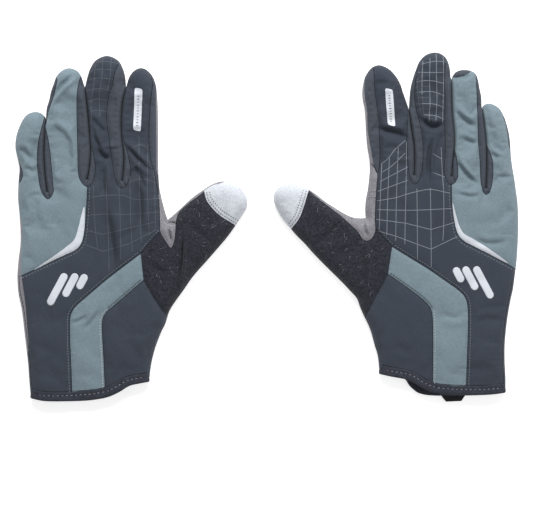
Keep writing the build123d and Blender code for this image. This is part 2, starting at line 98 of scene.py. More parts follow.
LEFT = {
    "side": "left",
    "outer": [
        (-171.8, -124), (-173, -111), (-173.8, -99), (-175.2, -87), (-176.6, -75), (-178.4, -60),
        (-181, -47), (-181.7, -35), (-180.9, -24), (-179.4, -11), (-179.5, 0), (-180.3, 12),
        (-181.2, 22), (-180.8, 34), (-180.1, 43), (-181.4, 50), (-183.1, 58), (-182.6, 66),
        (-180, 74), (-176.5, 80.3), (-172.6, 83.3), (-168, 84.2), (-164.2, 83), (-161.6, 80.6),
    ],
    "slits": {
        "little": [(-160.9, 79), (-161.6, 66), (-162, 52), (-161.2, 38), (-159.8, 26)],
        "ring": [(-132.5, 102), (-130.4, 85), (-128.9, 67), (-128.1, 54), (-129, 44), (-130.5, 35)],
        "middle": [(-102.5, 102), (-105.2, 88), (-106, 75), (-105.2, 62), (-103.9, 50), (-105, 34)],
    },
    "tips": {
        "ring": [
            (-160.8, 81), (-160.3, 87), (-158.5, 93), (-157.4, 98.5), (-155.5, 104), (-153.2, 110),
            (-149.5, 114), (-144.6, 116), (-139, 114.6), (-135.4, 110.4), (-133.3, 104),
        ],
        "middle": [
            (-131.9, 104.4), (-130.6, 110), (-128.6, 115.8), (-124.5, 121.8), (-116.5, 125),
            (-108.6, 121.8), (-104.8, 115.6), (-103.2, 109.6), (-102.7, 104),
        ],
        "index": [
            (-102, 104), (-100.2, 109.6), (-96.6, 114.2), (-91.8, 116.1), (-87.4, 114.6),
            (-83.2, 110), (-80.8, 103.5), (-79.8, 95), (-79.2, 80), (-79.1, 60), (-79, 42),
            (-78.4, 30), (-77, 22.8), (-75.5, 16.5), (-73.9, 10.6), (-72.2, 5.6),
        ],
    },
    "thumb_edge": [
        (-72.2, 5.6), (-66.5, 10.4), (-60.2, 16.3), (-53.6, 22.2), (-46, 27.6), (-39, 31.8),
        (-32, 33.6), (-25, 32.2), (-18.5, 28), (-14.4, 21), (-14.6, 14.5), (-17.5, 9.5), (-22, 2.6),
        (-28, -6), (-33.3, -12.4), (-43.4, -24), (-53.6, -35.6), (-61.6, -47), (-66, -53),
        (-71, -61), (-74, -70.3), (-77, -76.3), (-81.4, -88), (-84.2, -99.5), (-85.8, -112),
    ],
    "hem": [
        (-85.8, -112), (-93, -113.2), (-100.5, -114.8), (-108, -119.2), (-118, -123.2),
        (-136, -125.4), (-159, -126), (-171.8, -124),
    ],
    "splits": {"little": 26.0, "ring": 35.0, "middle": 35.0, "index": 34.0},
    "index_split": (-77, 33.5),
    "thumb_split": [(-72.2, 5.6), (-44.6, -25.4), (-40, -30.5), (0, -20), (0, 50), (-60, 50), (-71.2, 12)],
    "ulnar": [
        (-130.5, 36), (-130.2, 29), (-130.9, 14), (-132.2, -3), (-134.2, -11.5), (-138.5, -16.5),
        (-148, -21.2), (-159, -26.3), (-170, -31.4), (-188, -39.6),
    ],
    "ulnar_close": [(-195, -39.6), (-195, 50), (-130.5, 50)],
    "band_upper": [
        (-91.6, -19), (-104, -28.4), (-116.5, -38), (-128, -47.8), (-137.5, -56), (-141.6, -61.5),
        (-143, -68), (-142.8, -85), (-142, -105), (-141.4, -135),
    ],
    "band_lower": [
        (-89.6, -38.5), (-100, -47.5), (-111, -57), (-116.6, -62), (-119.2, -67.5), (-119.4, -76),
        (-118.4, -95), (-116.8, -135),
    ],
    "wrist": [(-89.6, -38.5), (-85, -46.5), (-80.6, -54), (-73, -64.5), (-64, -76)],
    "wrist_close": [(-50, -135)],
    "fleece": [(-91.6, -19), (-84.5, -10.5), (-77.4, -3.4)],
    "fleece_close": [(-70, 30), (-20, 30), (-20, -60)],
    "web": [
        (-79.7, 42), (-79, 30), (-78.2, 16), (-77.7, 4), (-77.4, -3.4), (-74, -9.4), (-69.8, -15),
        (-67.2, -10.5), (-66.2, -3), (-65.7, 5), (-63.4, 11.4), (-58.4, 16.4), (-51, 21.6),
        (-45.6, 26),
    ],
    "web_close": [(-45, 36), (-74, 36), (-74, 44)],
    "cap": [(-45.6, 26), (-44.8, 22), (-43, 17.8), (-36.2, 10.1), (-29, 5), (-21.6, 0.6)],
    "cap_close": [(-5, 0), (-5, 45), (-45, 45)],
    "piping": [
        (-132.4, 15), (-134.6, 8), (-136.4, 0.7), (-139.5, -8.7), (-146, -14.6), (-155, -21.2),
        (-169.6, -31.2), (-157, -24.8), (-147, -20.2), (-139, -16.4), (-135, -11.8), (-132.9, -4),
        (-132.2, 4),
    ],
    "strips": {
        "little": (
            [
                (-164, 85), (-162, 79), (-165.8, 62), (-166.7, 48), (-165.4, 34), (-163.2, 25.4),
                (-158.9, 20.6),
            ],
            [(-158.9, 20.6), (-155.2, 25.4), (-155.6, 34), (-157.8, 57), (-160.3, 72)],
            72.5,
        ),
        "ring": (
            [(-135, 113), (-137.6, 98), (-138, 80), (-137.3, 57), (-136.9, 41), (-135.2, 34), (-130.6, 29.6)],
            [(-130.6, 29.6), (-126.2, 33.6), (-124.6, 44), (-126.2, 55), (-128.7, 66.5)],
            67.0,
        ),
        "middle": (
            [
                (-106.5, 122), (-110.5, 112), (-112.2, 103), (-115.4, 93), (-116.4, 80), (-114.6, 65),
                (-112.9, 51.6), (-110.8, 39), (-109, 32.5), (-105.4, 28.4),
            ],
            [(-105.4, 28.4), (-101.4, 31.5), (-99, 41), (-100.6, 52), (-103.4, 62), (-105.8, 72)],
            72.5,
        ),
    },
    "patches": [
        ("strip", [
            (-160.6, 74), (-159, 84), (-155.8, 93), (-153.8, 101), (-152.6, 108), (-156, 114), (-163, 95),
        ]),
        ("strip", [(-185, 52), (-180.2, 47), (-177.6, 39), (-179.4, 33), (-184, 33)]),
        ("strip", [
            (-79, 24), (-81.2, 37.5), (-84.6, 51.6), (-85.6, 69), (-84.6, 90), (-83, 104), (-83.8, 110),
            (-76, 106), (-76, 42), (-78, 30),
        ]),
        ("web", [(-80.3, 102), (-80.4, 80), (-80.2, 56), (-79.9, 40), (-76, 40), (-76, 70), (-77, 103)]),
        ("web", [(-62, 16), (-52, 22.2), (-40.6, 30), (-33, 32.2), (-28, 36), (-44, 34), (-64, 20)]),
        ("web", [
            (-173.6, -90), (-174.4, -68), (-175.8, -51), (-177.9, -36), (-178.5, -20), (-178, -8),
            (-178.4, 6), (-184, 6), (-186, -40), (-182, -90),
        ]),
    ],
    "folds": [
        ([(-118, 46), (-119, 35), (-117.5, 22)], -1.2, 3.2),
        ([(-116.4, 16), (-113.4, -6), (-111.4, -20), (-113.5, -34)], -1.5, 4.4),
        ([(-93.5, 36), (-91.7, 14), (-92.7, -4)], -1.5, 3.6),
        ([(-98, 47), (-92, 37), (-87, 26)], -0.8, 2.8),
        ([(-71.4, 0.5), (-70.2, -4), (-69.6, -10.5)], -1.7, 0.8),
        ([(-73.4, 2.6), (-69.4, 3.6), (-65, 2.6)], -1.3, 0.9),
        ([(-140, 111), (-148.5, 103), (-160, 90)], -1.7, 2.2),
        ([(-183, 56), (-176, 55), (-171, 48)], -0.7, 2.6),
        ([(-166.8, 66), (-168.4, 54), (-171, 44)], -1.0, 2.4),
        ([(-157, 74), (-149, 69), (-142, 60)], -0.5, 2.8),
        ([(-144, 66), (-143.4, 52), (-146, 40)], -0.35, 4.0),
        ([(-177, 44), (-169, 40)], -0.5, 3.0),
        ([(-129, 82), (-122, 73), (-116, 68)], -0.8, 2.4),
        ([(-124, 58), (-119, 51.6), (-113, 50)], -1.3, 2.6),
        ([(-126.4, 77), (-125.2, 66), (-121, 56)], -1.2, 2.2),
        ([(-120.5, 118), (-121, 96), (-124, 84)], 0.25, 3.0),
        ([(-105, 62), (-95, 51), (-82.5, 39)], -1.3, 2.2),
        ([(-99, 44), (-91, 40), (-84, 32)], -0.5, 3.2),
        ([(-60.6, -6), (-61.2, -19), (-62.5, -33), (-65.4, -46)], -2.2, 1.3),
        ([(-88, -24), (-80, -30), (-72, -34)], -0.4, 3.0),
        ([(-143, -70), (-137, -68), (-129, -63.5)], -0.42, 1.7),
        ([(-133, -75), (-127, -68), (-120.4, -59.5)], -0.42, 1.9),
        ([(-105, -34), (-109, -46)], -0.3, 3.0),
        ([(-100, -80), (-92, -100)], -0.25, 4.0),
        ([(-160, -84), (-158, -106)], -0.2, 4.0),
        ([(-112, -12), (-100, -4), (-86, 2)], -0.25, 3.4),
        ([(-57, 4), (-47, -6), (-40, -10)], -0.3, 3.0),
    ],
    "mark": [((-152, -45), 62, 26), ((-142.5, -42), 62, 19), ((-134, -39.5), 62, 12)],
    "label": [(-95.8, 101.4), (-90.1, 100.2), (-91.5, 69.4), (-97.0, 70.8)],
    "pads": [((-153, -72), 86, 62, 24), ((-100, -66), 55, 58, 22), ((-122, 8), 4, 82, 17)],
    "palm_drop": [(80, 0), (108, 0.6), (130, 0.9), (172, 0)],
    "web_rows": [
        [(-73, 2.2), (-69.4, 1.0), (-66.2, 1.6)],
        [(-71.4, -1.6), (-68.6, -2.4), (-66.8, -2.0)],
    ],
    "edge_rows": [
        [(-73.8, 4.6), (-70, 3.4), (-66.4, 4.0)],
    ],
    "tab": ((-132, -107.5), (-133, -119), 10.5, 14.0, 0.15),
    "care": (-128, -102),
    "grid_look": "faint_print",
    "grid_width": 0.42,
    "worn_grid": [],
    "grid_corners": [
        [(-131, -2.2), (-118.6, -5.2), (-100, -0.6), (-80, 4)],
        [(-132.2, -12.4), (-118.6, -17.4), (-100, -12), (-80, -1.8)],
    ],
    "grid": [
        [(-124.5, 118), (-125.5, 104), (-127.5, 90), (-127, 78)],
        [(-119, 125), (-119.5, 110), (-121.5, 95), (-121, 80)],
        [(-113, 124), (-113.6, 110), (-116, 98)],
        [(-132, 106.5), (-122, 108.2), (-109, 107)],
        [(-130.5, 113), (-120, 114.6), (-106, 113)],
        [(-127.5, 119), (-118, 120.4), (-108, 119)],
        [(-131.6, 99), (-122, 100.6), (-113, 99)],
        [(-130.6, 91), (-123, 93), (-116, 92)],
        [(-129.6, 83), (-123, 85), (-116, 84)],
        [(-125.6, 30), (-125.2, 12), (-124, -4), (-122.6, -15.5)],
        [(-116.4, 32), (-115.8, 12), (-115, -8), (-114.4, -32)],
        [(-107.4, 30), (-106.4, 10), (-106, -8), (-105.8, -24)],
        [(-99.6, 48), (-99.2, 26), (-98.7, 6), (-97.6, -18)],
        [(-92.8, 66), (-92.6, 40), (-92.2, 20), (-91, -12)],
        [(-86.4, 60), (-86.6, 36), (-86.2, 16), (-85.2, -6.6)],
        [(-82.6, 44), (-81.4, 30), (-81.2, 16), (-80.6, 0)],
        [(-130, 21.4), (-118, 23), (-104, 23), (-94, 20), (-78, 21)],
        [(-130.4, 8.8), (-114.8, 9.6), (-98.6, 9.4), (-79, 11)],
        [(-100, 33), (-90, 35), (-79, 32)],
        [(-99, 44), (-90, 46.5), (-81, 42)],
        [(-100, 56), (-92, 60), (-84, 56)],
    ],
}

RIGHT = {
    "side": "right",
    "outer": [
        (173.6, -120), (173.9, -111), (173.3, -99), (173.2, -87), (174, -76), (175.3, -65),
        (177.4, -53), (179.2, -45), (180.5, -35.4), (181.9, -24), (182.7, -12), (183.1, 0), (183, 11),
        (182.4, 20), (181.2, 28.6), (180.2, 36), (178.8, 44), (177.8, 52), (177.3, 60), (176.4, 68),
        (174.4, 76), (172.2, 82), (168.8, 87.2), (163, 90.2), (159, 89.6), (157, 87.8),
    ],
    "slits": {
        "little": [(156.6, 86.5), (158.2, 74), (159.5, 61.5), (159.8, 46), (159.2, 28.5)],
        "ring": [(134.3, 107.5), (134.8, 85), (136.2, 69), (136.3, 57.6), (134.9, 46), (134.4, 37)],
        "middle": [(103.3, 86), (105, 72), (106.8, 60), (107.3, 50), (107, 38)],
    },
    "tips": {
        "ring": [
            (156.3, 88.5), (156.2, 95), (155, 101), (153.9, 107), (152.2, 111.6), (148.6, 114.1),
            (142, 114.7), (137.5, 113), (135.2, 110),
        ],
        "middle": [
            (133.7, 110), (133.2, 116), (131, 122.6), (126.8, 126.4), (121.5, 127.4), (115.5, 125.4),
            (111.2, 121), (108.8, 115.5), (106.8, 109.8), (105.2, 104), (104.2, 98), (103.8, 91.5),
            (103.6, 88),
        ],
        "index": [
            (102.7, 88.2), (101.2, 92.6), (99.2, 98.4), (97.3, 104.2), (94.2, 109.8), (89, 115.3),
            (82, 118.2), (76, 116), (71.8, 110.2), (70, 104), (69.4, 98), (69.9, 92.6), (71.2, 86.5),
            (71.8, 78), (72.3, 68), (73.2, 58), (74.6, 50), (75, 42), (74.3, 34), (73.4, 27),
            (72.2, 21), (71.6, 14), (72, 6.8),
        ],
    },
    "thumb_edge": [
        (72, 6.8), (64, 7), (57, 9.8), (50, 14), (43, 18.6), (36, 24), (29.4, 28.4), (23, 31),
        (16.4, 32), (10.5, 30.2), (6, 26), (5, 20.5), (6.4, 15.5), (9.5, 9), (13.5, 3.4), (17.4, -1),
        (22, -6.3), (27.8, -12.1), (33, -18), (38.7, -24), (44.5, -29.8), (50.3, -35.5),
        (56.1, -41.3), (61.4, -47), (65.6, -51.8), (67.9, -58), (70.6, -64.2), (73.6, -70.3),
        (76, -76.5), (78.6, -86), (80.9, -94), (82.2, -107),
    ],
    "hem": [
        (82.2, -106.4), (90, -108), (98, -109.4), (104, -110.9), (112.8, -116.1), (120.1, -119.3),
        (130.6, -120.9), (146.2, -121.4), (160, -121.3), (173.6, -120),
    ],
    "splits": {"little": 28.5, "ring": 37.0, "middle": 38.0, "index": 38.0},
    "index_split": (73, 36.5),
    "thumb_split": [(72, 6.8), (44.2, -29.8), (40, -35.5), (-5, -20), (-5, 50), (60, 50), (70.6, 12)],
    "ulnar": [
        (134.4, 38), (134, 29), (134.4, 16), (136, 5), (138.2, -5), (143, -10.4), (152, -15.2),
        (165, -21.6), (188, -34),
    ],
    "ulnar_close": [(195, -34), (195, 50), (134.4, 50)],
    "band_upper": [
        (91, -14), (104, -22), (117, -30), (130, -39), (140, -46.2), (144.4, -51.5), (146, -58.5),
        (146.2, -70), (145.6, -90), (144.6, -130),
    ],
    "band_lower": [
        (88, -34), (98, -41), (108, -48.2), (115, -54.2), (119, -59.5), (120.3, -67), (120.5, -85),
        (120.4, -130),
    ],
    "wrist": [(88, -34), (84, -42), (79.8, -49.5), (74, -61), (64, -78)],
    "wrist_close": [(50, -130)],
    "fleece": [(91, -14), (85, -7.5), (79, -0.8)],
    "fleece_close": [(70, 30), (20, 30), (20, -70)],
    "web": [
        (76.4, 46), (80.3, 39.4), (79.8, 30), (78.9, 16), (78.6, 6), (79, -0.8), (78.4, -4.4),
        (76.2, -8.2), (72.6, -9.9), (69.2, -8.3), (67, -4.8), (63.6, -1), (59, 3.4), (53, 8.8),
        (46, 14), (38, 20.4), (30.6, 26.8),
    ],
    "web_close": [(30, 38), (71, 38), (72, 50)],
    "cap": [(30.6, 26.8), (28.6, 20), (26.4, 13), (23.2, 5.6), (16.4, -3)],
    "cap_close": [(0, -5), (0, 42), (30, 42)],
    "piping": [
        (134.8, 18), (137.2, 9), (139.6, 1), (143, -4.6), (150, -8.6), (162, -16.2), (175.4, -26.2),
        (160, -18.6), (149, -13), (143.4, -10), (139.2, -5.4), (136.6, 2), (135.2, 11),
    ],
    "strips": {
        "little": (
            [(151.4, 116), (152, 110), (152.6, 100), (153.3, 77), (153.7, 62), (154.9, 46), (155.4, 34),
             (156.8, 27), (159.3, 23.8)],
            [(159.3, 23.8), (162.4, 27.6), (164.1, 38), (163.4, 50), (159.7, 60)],
            60.5,
        ),
        "ring": (
            [(130.4, 128), (129.8, 119), (129, 109), (129.6, 93), (129.3, 77), (129.7, 58), (128.9, 42),
             (130.2, 35.4), (133.8, 30.9)],
            [(133.8, 30.9), (138, 34.9), (138.8, 42), (137.8, 50), (136.3, 58)],
            58.5,
        ),
        "middle": (
            [(102.9, 100), (102.4, 82), (101.7, 66), (102.1, 54), (102.9, 42), (104.4, 35), (107.4, 31.4)],
            [(107.4, 31.4), (110.8, 35), (112.9, 44), (113.4, 60), (111.6, 74), (108.8, 84), (107.4, 94),
             (107.9, 105), (109, 113), (111, 124)],
            None,
        ),
    },
    "patches": [
        ("strip", [
            (75.6, 122), (77.6, 114), (78.4, 101), (80, 88), (81.4, 77), (82, 62), (82, 48), (80.3, 39.4),
            (76.4, 46), (66, 50), (66, 120),
        ]),
        ("strip", [
            (134, 110.4), (138, 114), (142, 117), (148.5, 116), (147.4, 112.8), (143, 110.4), (137, 108.9),
        ]),
        ("strip", [(172.4, 81), (174, 74), (175.4, 66), (176.6, 58), (182, 60), (180, 82)]),
        ("web", [(71, 111), (70.9, 98), (72.8, 84), (73.4, 70), (75.4, 58), (77.6, 46), (78.8, 40),
                 (70, 44), (67, 80), (68, 112)]),
    ],
    "folds": [
        ([(80, 71.5), (92, 69), (103, 65)], -1.2, 2.8),
        ([(111.5, 79), (120, 73.5), (129, 75.5)], -1.7, 2.6),
        ([(121, 66), (118.1, 54), (117.5, 44), (117.6, 32)], -1.5, 1.6),
        ([(128, 69), (124, 54)], -0.5, 3.0),
        ([(136, 86), (141.7, 79.4), (152, 72.6)], -1.3, 2.2),
        ([(141.5, 65), (147, 62.6), (153, 60.6)], -0.9, 2.0),
        ([(137.6, 51), (141, 43), (152.4, 31)], -1.5, 1.9),
        ([(137.9, 24.6), (147, 22.4), (155.3, 23.4)], -0.6, 2.0),
        ([(162.4, 54.5), (168, 49.6)], -0.8, 2.0),
        ([(157.4, 80), (163, 70)], -0.4, 3.0),
        ([(168, 37), (178.5, 35)], -0.3, 2.4),
        ([(150, -8), (161, -11.7), (175, -10.4)], -0.5, 2.6),
        ([(136.2, 108.6), (144, 109.2), (150, 111.6)], -1.2, 1.3),
        ([(72.5, -9), (70, -24), (72, -44)], -0.7, 2.4),
        ([(71.4, 4), (71.6, -1), (72.6, -6.5)], -1.6, 1.0),
        ([(63.6, 6.4), (68.4, 7.8), (73.4, 7.4)], -1.3, 0.9),
        ([(128, 30), (126, 8), (122, -14)], -0.5, 3.4),
        ([(96, 24), (102, 6), (104, -10)], -0.35, 4.0),
        ([(150, -70), (160, -66), (170, -68)], -0.25, 3.0),
        ([(145, -62), (136, -66), (126, -62)], -0.35, 3.0),
        ([(92, -84), (104, -92)], -0.25, 4.0),
        ([(52, 2), (44, -8), (38, -13)], -0.3, 3.0),
    ],
    "mark": [((157, -40), 118, 26), ((147.5, -37), 118, 19), ((139, -34.5), 118, 12)],
    "label": [(85.8, 101.0), (91.3, 99.7), (93.2, 72.9), (87.7, 74.4)],
    "pads": [((154, -68), 94, 62, 24), ((101, -64), 125, 58, 22), ((124, 9), -4, 82, 17)],
    "palm_drop": [
        (80, 0), (101.5, 0), (104.6, 4.4), (110, 5.8), (115, 4.4), (120, 2.8), (128, 1.6), (145, 0.8),
        (173, 0),
    ],
    "web_rows": [
        [(65.4, 5.0), (68.6, 6.2), (72.4, 6.8)],
        [(68.2, 1.4), (71, 2.0), (74, 2.2)],
    ],
    "edge_rows": [
        [(73.6, 24.8), (76.4, 25.8), (79.6, 26.2)],
        [(73.2, 21.0), (76.2, 21.6), (79.2, 21.6)],
        [(60.4, 5.6), (64, 7.6), (68.4, 8.6)],
    ],
    "tab": ((136.3, -126.9), (135.9, -117), 11.2, 17.4, 1.0),
    "care": (130, -99),
    "grid_look": "print",
    "grid_width": 0.5,
    "worn_grid": [
        [(109.6, 108), (109.2, 100), (110.4, 90), (111.4, 82)],
        [(113, 95), (113.4, 86), (114.6, 79)],
        [(106.4, 101.4), (112, 102.2), (118, 102.2)],
        [(106.6, 97.6), (110, 98)],
        [(107.4, 93.6), (113, 94.2), (118, 94)],
        [(108.4, 89.4), (112, 89.6)],
        [(109.4, 85.4), (114, 85.8), (118, 85.4)],
        [(110.8, 81.2), (114, 81.6)],
    ],
    "grid_corners": [
        [(79, 5.8), (100.6, 2.9), (119, -1.7), (136, 3.4)],
        [(80, -2.4), (94, -6.6), (109, -12.3), (119, -15.9), (138.4, -6.6)],
    ],
    "grid": [
        [(118.4, 123), (118, 108), (118.4, 92), (117.6, 76)],
        [(123, 126.4), (123, 110), (123.4, 94), (122.6, 77)],
        [(128.2, 124), (128.4, 108), (128, 92), (127.6, 76)],
        [(113.4, 121), (112.6, 108), (112.6, 96)],
        [(112, 118.6), (122, 120.4), (131, 120.2)],
        [(108.8, 112.8), (119, 112.2), (129, 112.4)],
        [(107.8, 105.6), (118, 106.4), (129, 104.2)],
        [(110, 98), (120, 98.4), (129, 95.4)],
        [(112, 89.6), (121, 89.4), (129, 86.8)],
        [(114, 81.6), (122, 81), (129, 78.2)],
        [(83.4, 46), (82.6, 30), (82, 14), (81.6, -2)],
        [(88.8, 50), (88.2, 36), (87.4, 14), (87, -6)],
        [(95.4, 58), (94.6, 40), (93.8, 16), (93.4, -10)],
        [(101.4, 62), (101.2, 42), (100.6, 18), (100, -12.4)],
        [(108.8, 28), (109, 8), (109.2, -23.4)],
        [(118.5, 28.4), (118.8, 12), (119, 0), (119.2, -29)],
        [(126.6, 58), (127.2, 44), (128.2, 24), (128.2, 4), (127.6, -10)],
        [(80, 12.8), (94, 12.4), (110, 12.4), (134, 13.6)],
        [(79, 19), (93, 21.3), (100.6, 23.7), (109, 25.9), (119, 27.4), (133, 24.6)],
        [(80.4, 26), (90, 29.6), (102, 34)],
        [(82, 33), (92, 38.4), (102.6, 44)],
        [(82.8, 45.8), (88, 50), (93.2, 56.7), (100.8, 63.2)],
        [(83.8, 40), (91, 44.8), (100.5, 54)],
        [(120, 40), (129.4, 36.4)],
        [(120.6, 53.4), (127, 49.6)],
    ],
}

# ---------------------------------------------------------------- curves

BATCH = 3000  # points measured at a time


def distances(points):
    """How far along a line each of its points lies."""
    return np.concatenate([[0], np.cumsum(np.hypot(*np.diff(points, axis=0).T))])


def close(curve):
    """The curve with its first point again at its end."""
    return np.vstack([curve, curve[:1]])


def resample(points, step=STEP):
    """Points at an even spacing along straight runs, with both ends kept."""
    points = np.asarray(points, float)
    along = distances(points)
    count = max(2, int(round(along[-1] / step)) + 1)
    stations = np.linspace(0, along[-1], count)
    return np.stack([np.interp(stations, along, points[:, k]) for k in (0, 1)], axis=1)


def smooth(points, step=STEP, closed=False):
    """Catmull-Rom curve through the points, evenly spaced."""
    p = np.asarray(points, float)
    if closed:
        p = np.vstack([p[-1:], p, p[:2]])
    else:
        p = np.vstack([2 * p[0] - p[1], p, 2 * p[-1] - p[-2]])
    points_in_run = 12
    t = np.linspace(0, 1, points_in_run, endpoint=False)[:, None]
    runs = []
    for a, b, c, d in zip(p[:-3], p[1:-2], p[2:-1], p[3:]):
        bend = 2 * a - 5 * b + 4 * c - d
        twist = 3 * b - a - 3 * c + d
        runs.append(0.5 * (2 * b + (c - a) * t + bend * t**2 + twist * t**3))
    runs.append(p[-2:-1])
    return resample(np.vstack(runs), step)


def divide(curve, step=STEP):
    """The closed curve with points added along any side much longer than the step."""
    points = []
    for a, b in zip(curve, np.roll(curve, -1, axis=0)):
        count = max(1, int(np.hypot(*(b - a)) / (1.3 * step)))
        points += [a + (b - a) * k / count for k in range(count)]
    return np.array(points)


def rows_near(points, shape, reach=0):
    """Which points lie within a reach of a shape's bounding box."""
    low, high = shape.min(axis=0) - reach, shape.max(axis=0) + reach
    return np.flatnonzero(((points >= low) & (points <= high)).all(axis=1))


def nearest(points, curve, reach=None):
    """Distance from each point to a polyline, negative on its right, and how far along the line its
    nearest point lies. Points further off than the reach aren't measured."""
    a, b = curve[:-1], curve[1:]
    run = b - a
    length = np.maximum(np.hypot(*run.T), 1e-9)
    start = np.concatenate([[0], np.cumsum(length)[:-1]])
    best = np.full(len(points), 1e3)
    along = np.zeros(len(points))
    near = np.arange(len(points)) if reach is None else rows_near(points, curve, reach)
    for i in range(0, len(near), BATCH):
        chosen = near[i : i + BATCH]
        gap = points[chosen][:, None] - a[None]
        t = np.clip((gap[..., 0] * run[:, 0] + gap[..., 1] * run[:, 1]) / length**2, 0, 1)
        dx, dy = gap[..., 0] - t * run[:, 0], gap[..., 1] - t * run[:, 1]
        d = dx * dx + dy * dy
        k = d.argmin(axis=1)
        rows = np.arange(len(chosen))
        side = np.sign(run[k, 0] * dy[rows, k] - run[k, 1] * dx[rows, k])
        best[chosen] = np.sqrt(d[rows, k]) * np.where(side < 0, -1, 1)
        along[chosen] = start[k] + t[rows, k] * length[k]
    return best, along


def inside(points, polygon):
    """Which points lie inside a closed polygon."""
    result = np.zeros(len(points), bool)
    near = rows_near(points, polygon)
    x0, y0 = polygon.T
    x1, y1 = np.roll(polygon, -1, axis=0).T
    slope = (x1 - x0) / np.where(np.abs(y1 - y0) > 1e-12, y1 - y0, 1)
    for i in range(0, len(near), BATCH):
        rows = near[i : i + BATCH]
        x, y = points[rows, :1], points[rows, 1:]
        crosses = ((y0 > y) != (y1 > y)) & (x < x0 + slope * (y - y0))
        result[rows] = crosses.sum(axis=1) % 2 == 1
    return result


def left_of(curve):
    """Unit steps to the left of a curve, at each of its points."""
    run = np.gradient(curve, axis=0)
    run /= np.maximum(np.hypot(*run.T), 1e-9)[:, None]
    return np.stack([-run[:, 1], run[:, 0]], axis=1)


def offset_curve(curve, distance):
    """The curve moved sideways to its left."""
    return curve + left_of(curve) * distance


def round_slit(centre, shift, end):
    """Down one side of a slit, round its end and up its other side."""
    return np.vstack([centre[:-1] - shift, end, centre[-2::-1] + shift])


def lay_out(glove):
    """Works out a glove's sampled curves and region polygons from its outline points."""
    g = dict(glove)
    sign = 1 if glove["side"] == "left" else -1
    g["sign"] = sign
    slits = {name: smooth(points) for name, points in glove["slits"].items()}
    tips = {name: smooth(points) for name, points in glove["tips"].items()}
    outer, thumb, hem = (smooth(glove[name]) for name in ("outer", "thumb_edge", "hem"))
    shift = np.array([SLIT_HALF_GAP, 0]) * sign
    loop = [outer]
    for slit, tip in (("little", "ring"), ("ring", "middle"), ("middle", "index")):
        loop += [round_slit(slits[slit], shift, slits[slit][-1:]), tips[tip]]
    loop += [thumb[1:], hem[1:-1]]
    g["loop"] = np.vstack(loop)
    g["hem_curve"] = hem
    g["edge_curves"] = [outer, tips["ring"], tips["middle"], np.vstack([tips["index"], thumb[1:]])]
    g["slit_curves"] = slits
    shoulder = np.array([SLIT_SHOULDER, 0])
    g["slit_guides"] = [
        round_slit(centre, shoulder, centre[-1:] - (0, SLIT_SHOULDER)) for centre in slits.values()
    ]

    # Two small tucks run down from the end of each slit.
    g["folds"] = list(glove["folds"])
    for x, y in (centre[-1] for centre in slits.values()):
        for way in (-1, 1):
            tuck = [(x, y + 1), (x + 1.4 * way, y - 1.8), (x + 2.0 * way, y - 4.6)]
            g["folds"].append((tuck, -1.3, 1.0))

    c = {name: smooth(glove[name]) for name in PANEL_SEAMS}
    c["band_end"] = resample([glove["band_upper"][0], glove["band_lower"][0]])
    g["curves"] = c
    kinds = {kind: np.vstack([c[kind], glove[f"{kind}_close"]]) for kind in ("ulnar", "web", "cap")}
    kinds["band"] = np.vstack([c["band_upper"], c["band_lower"][::-1]])
    kinds["wrist"] = np.vstack([c["wrist"], glove["wrist_close"], c["band_lower"][:0:-1]])
    kinds["fleece"] = np.vstack([
        c["fleece"], glove["fleece_close"], c["wrist"][::-1], c["band_end"][-2:0:-1],
    ])
    kinds["piping"] = smooth(glove["piping"], closed=True)
    g["kinds"] = kinds

    strips, seams, webs = [], [], []
    for name, (low, high, join) in glove["strips"].items():
        whole = smooth(low + high[1:])
        seams.append(whole)
        if join is not None:
            rest = slits[name][slits[name][:, 1] > join][::-1]
            top = [(slits[name][0][0], low[0][1] + 2)]
            whole = np.vstack([whole, rest, top])
        strips.append(whole)
    for kind, points in glove["patches"]:
        (strips if kind == "strip" else webs).append(smooth(points, closed=True))
        if kind == "strip":
            seams.append(smooth(points))
    g["strip_polygons"], g["strip_seams"], g["web_polygons"] = strips, seams, webs

    # Each digit's polygon runs from its root out past its tip, between the slits.
    x = {name: centre[0][0] for name, centre in slits.items()}
    out = (glove["outer"][0][0] - OUTSIDE * sign, glove["splits"]["little"])
    digits = {}
    digits["little"] = np.vstack([out, slits["little"][::-1], (x["little"], FAR), (out[0], FAR)])
    for left, right in (("little", "ring"), ("ring", "middle")):
        digits[right] = np.vstack([slits[left], slits[right][::-1], (x[right], FAR), (x[left], FAR)])
    split_x, split_y = glove["index_split"]
    past_index = split_x + 8 * sign
    digits["index"] = np.vstack([
        slits["middle"],
        (split_x, split_y), (past_index, split_y + 25), (past_index, FAR), (x["middle"], FAR),
    ])
    digits["thumb"] = np.asarray(glove["thumb_split"], float)
    g["digits"] = digits
    return g


# ---------------------------------------------------------------- plan meshes


def turn_area(a, b, c):
    """Twice the area of a plan triangle, negative where its corners run clockwise."""
    u, v = b - a, c - a
    return u[..., 0] * v[..., 1] - u[..., 1] * v[..., 0]


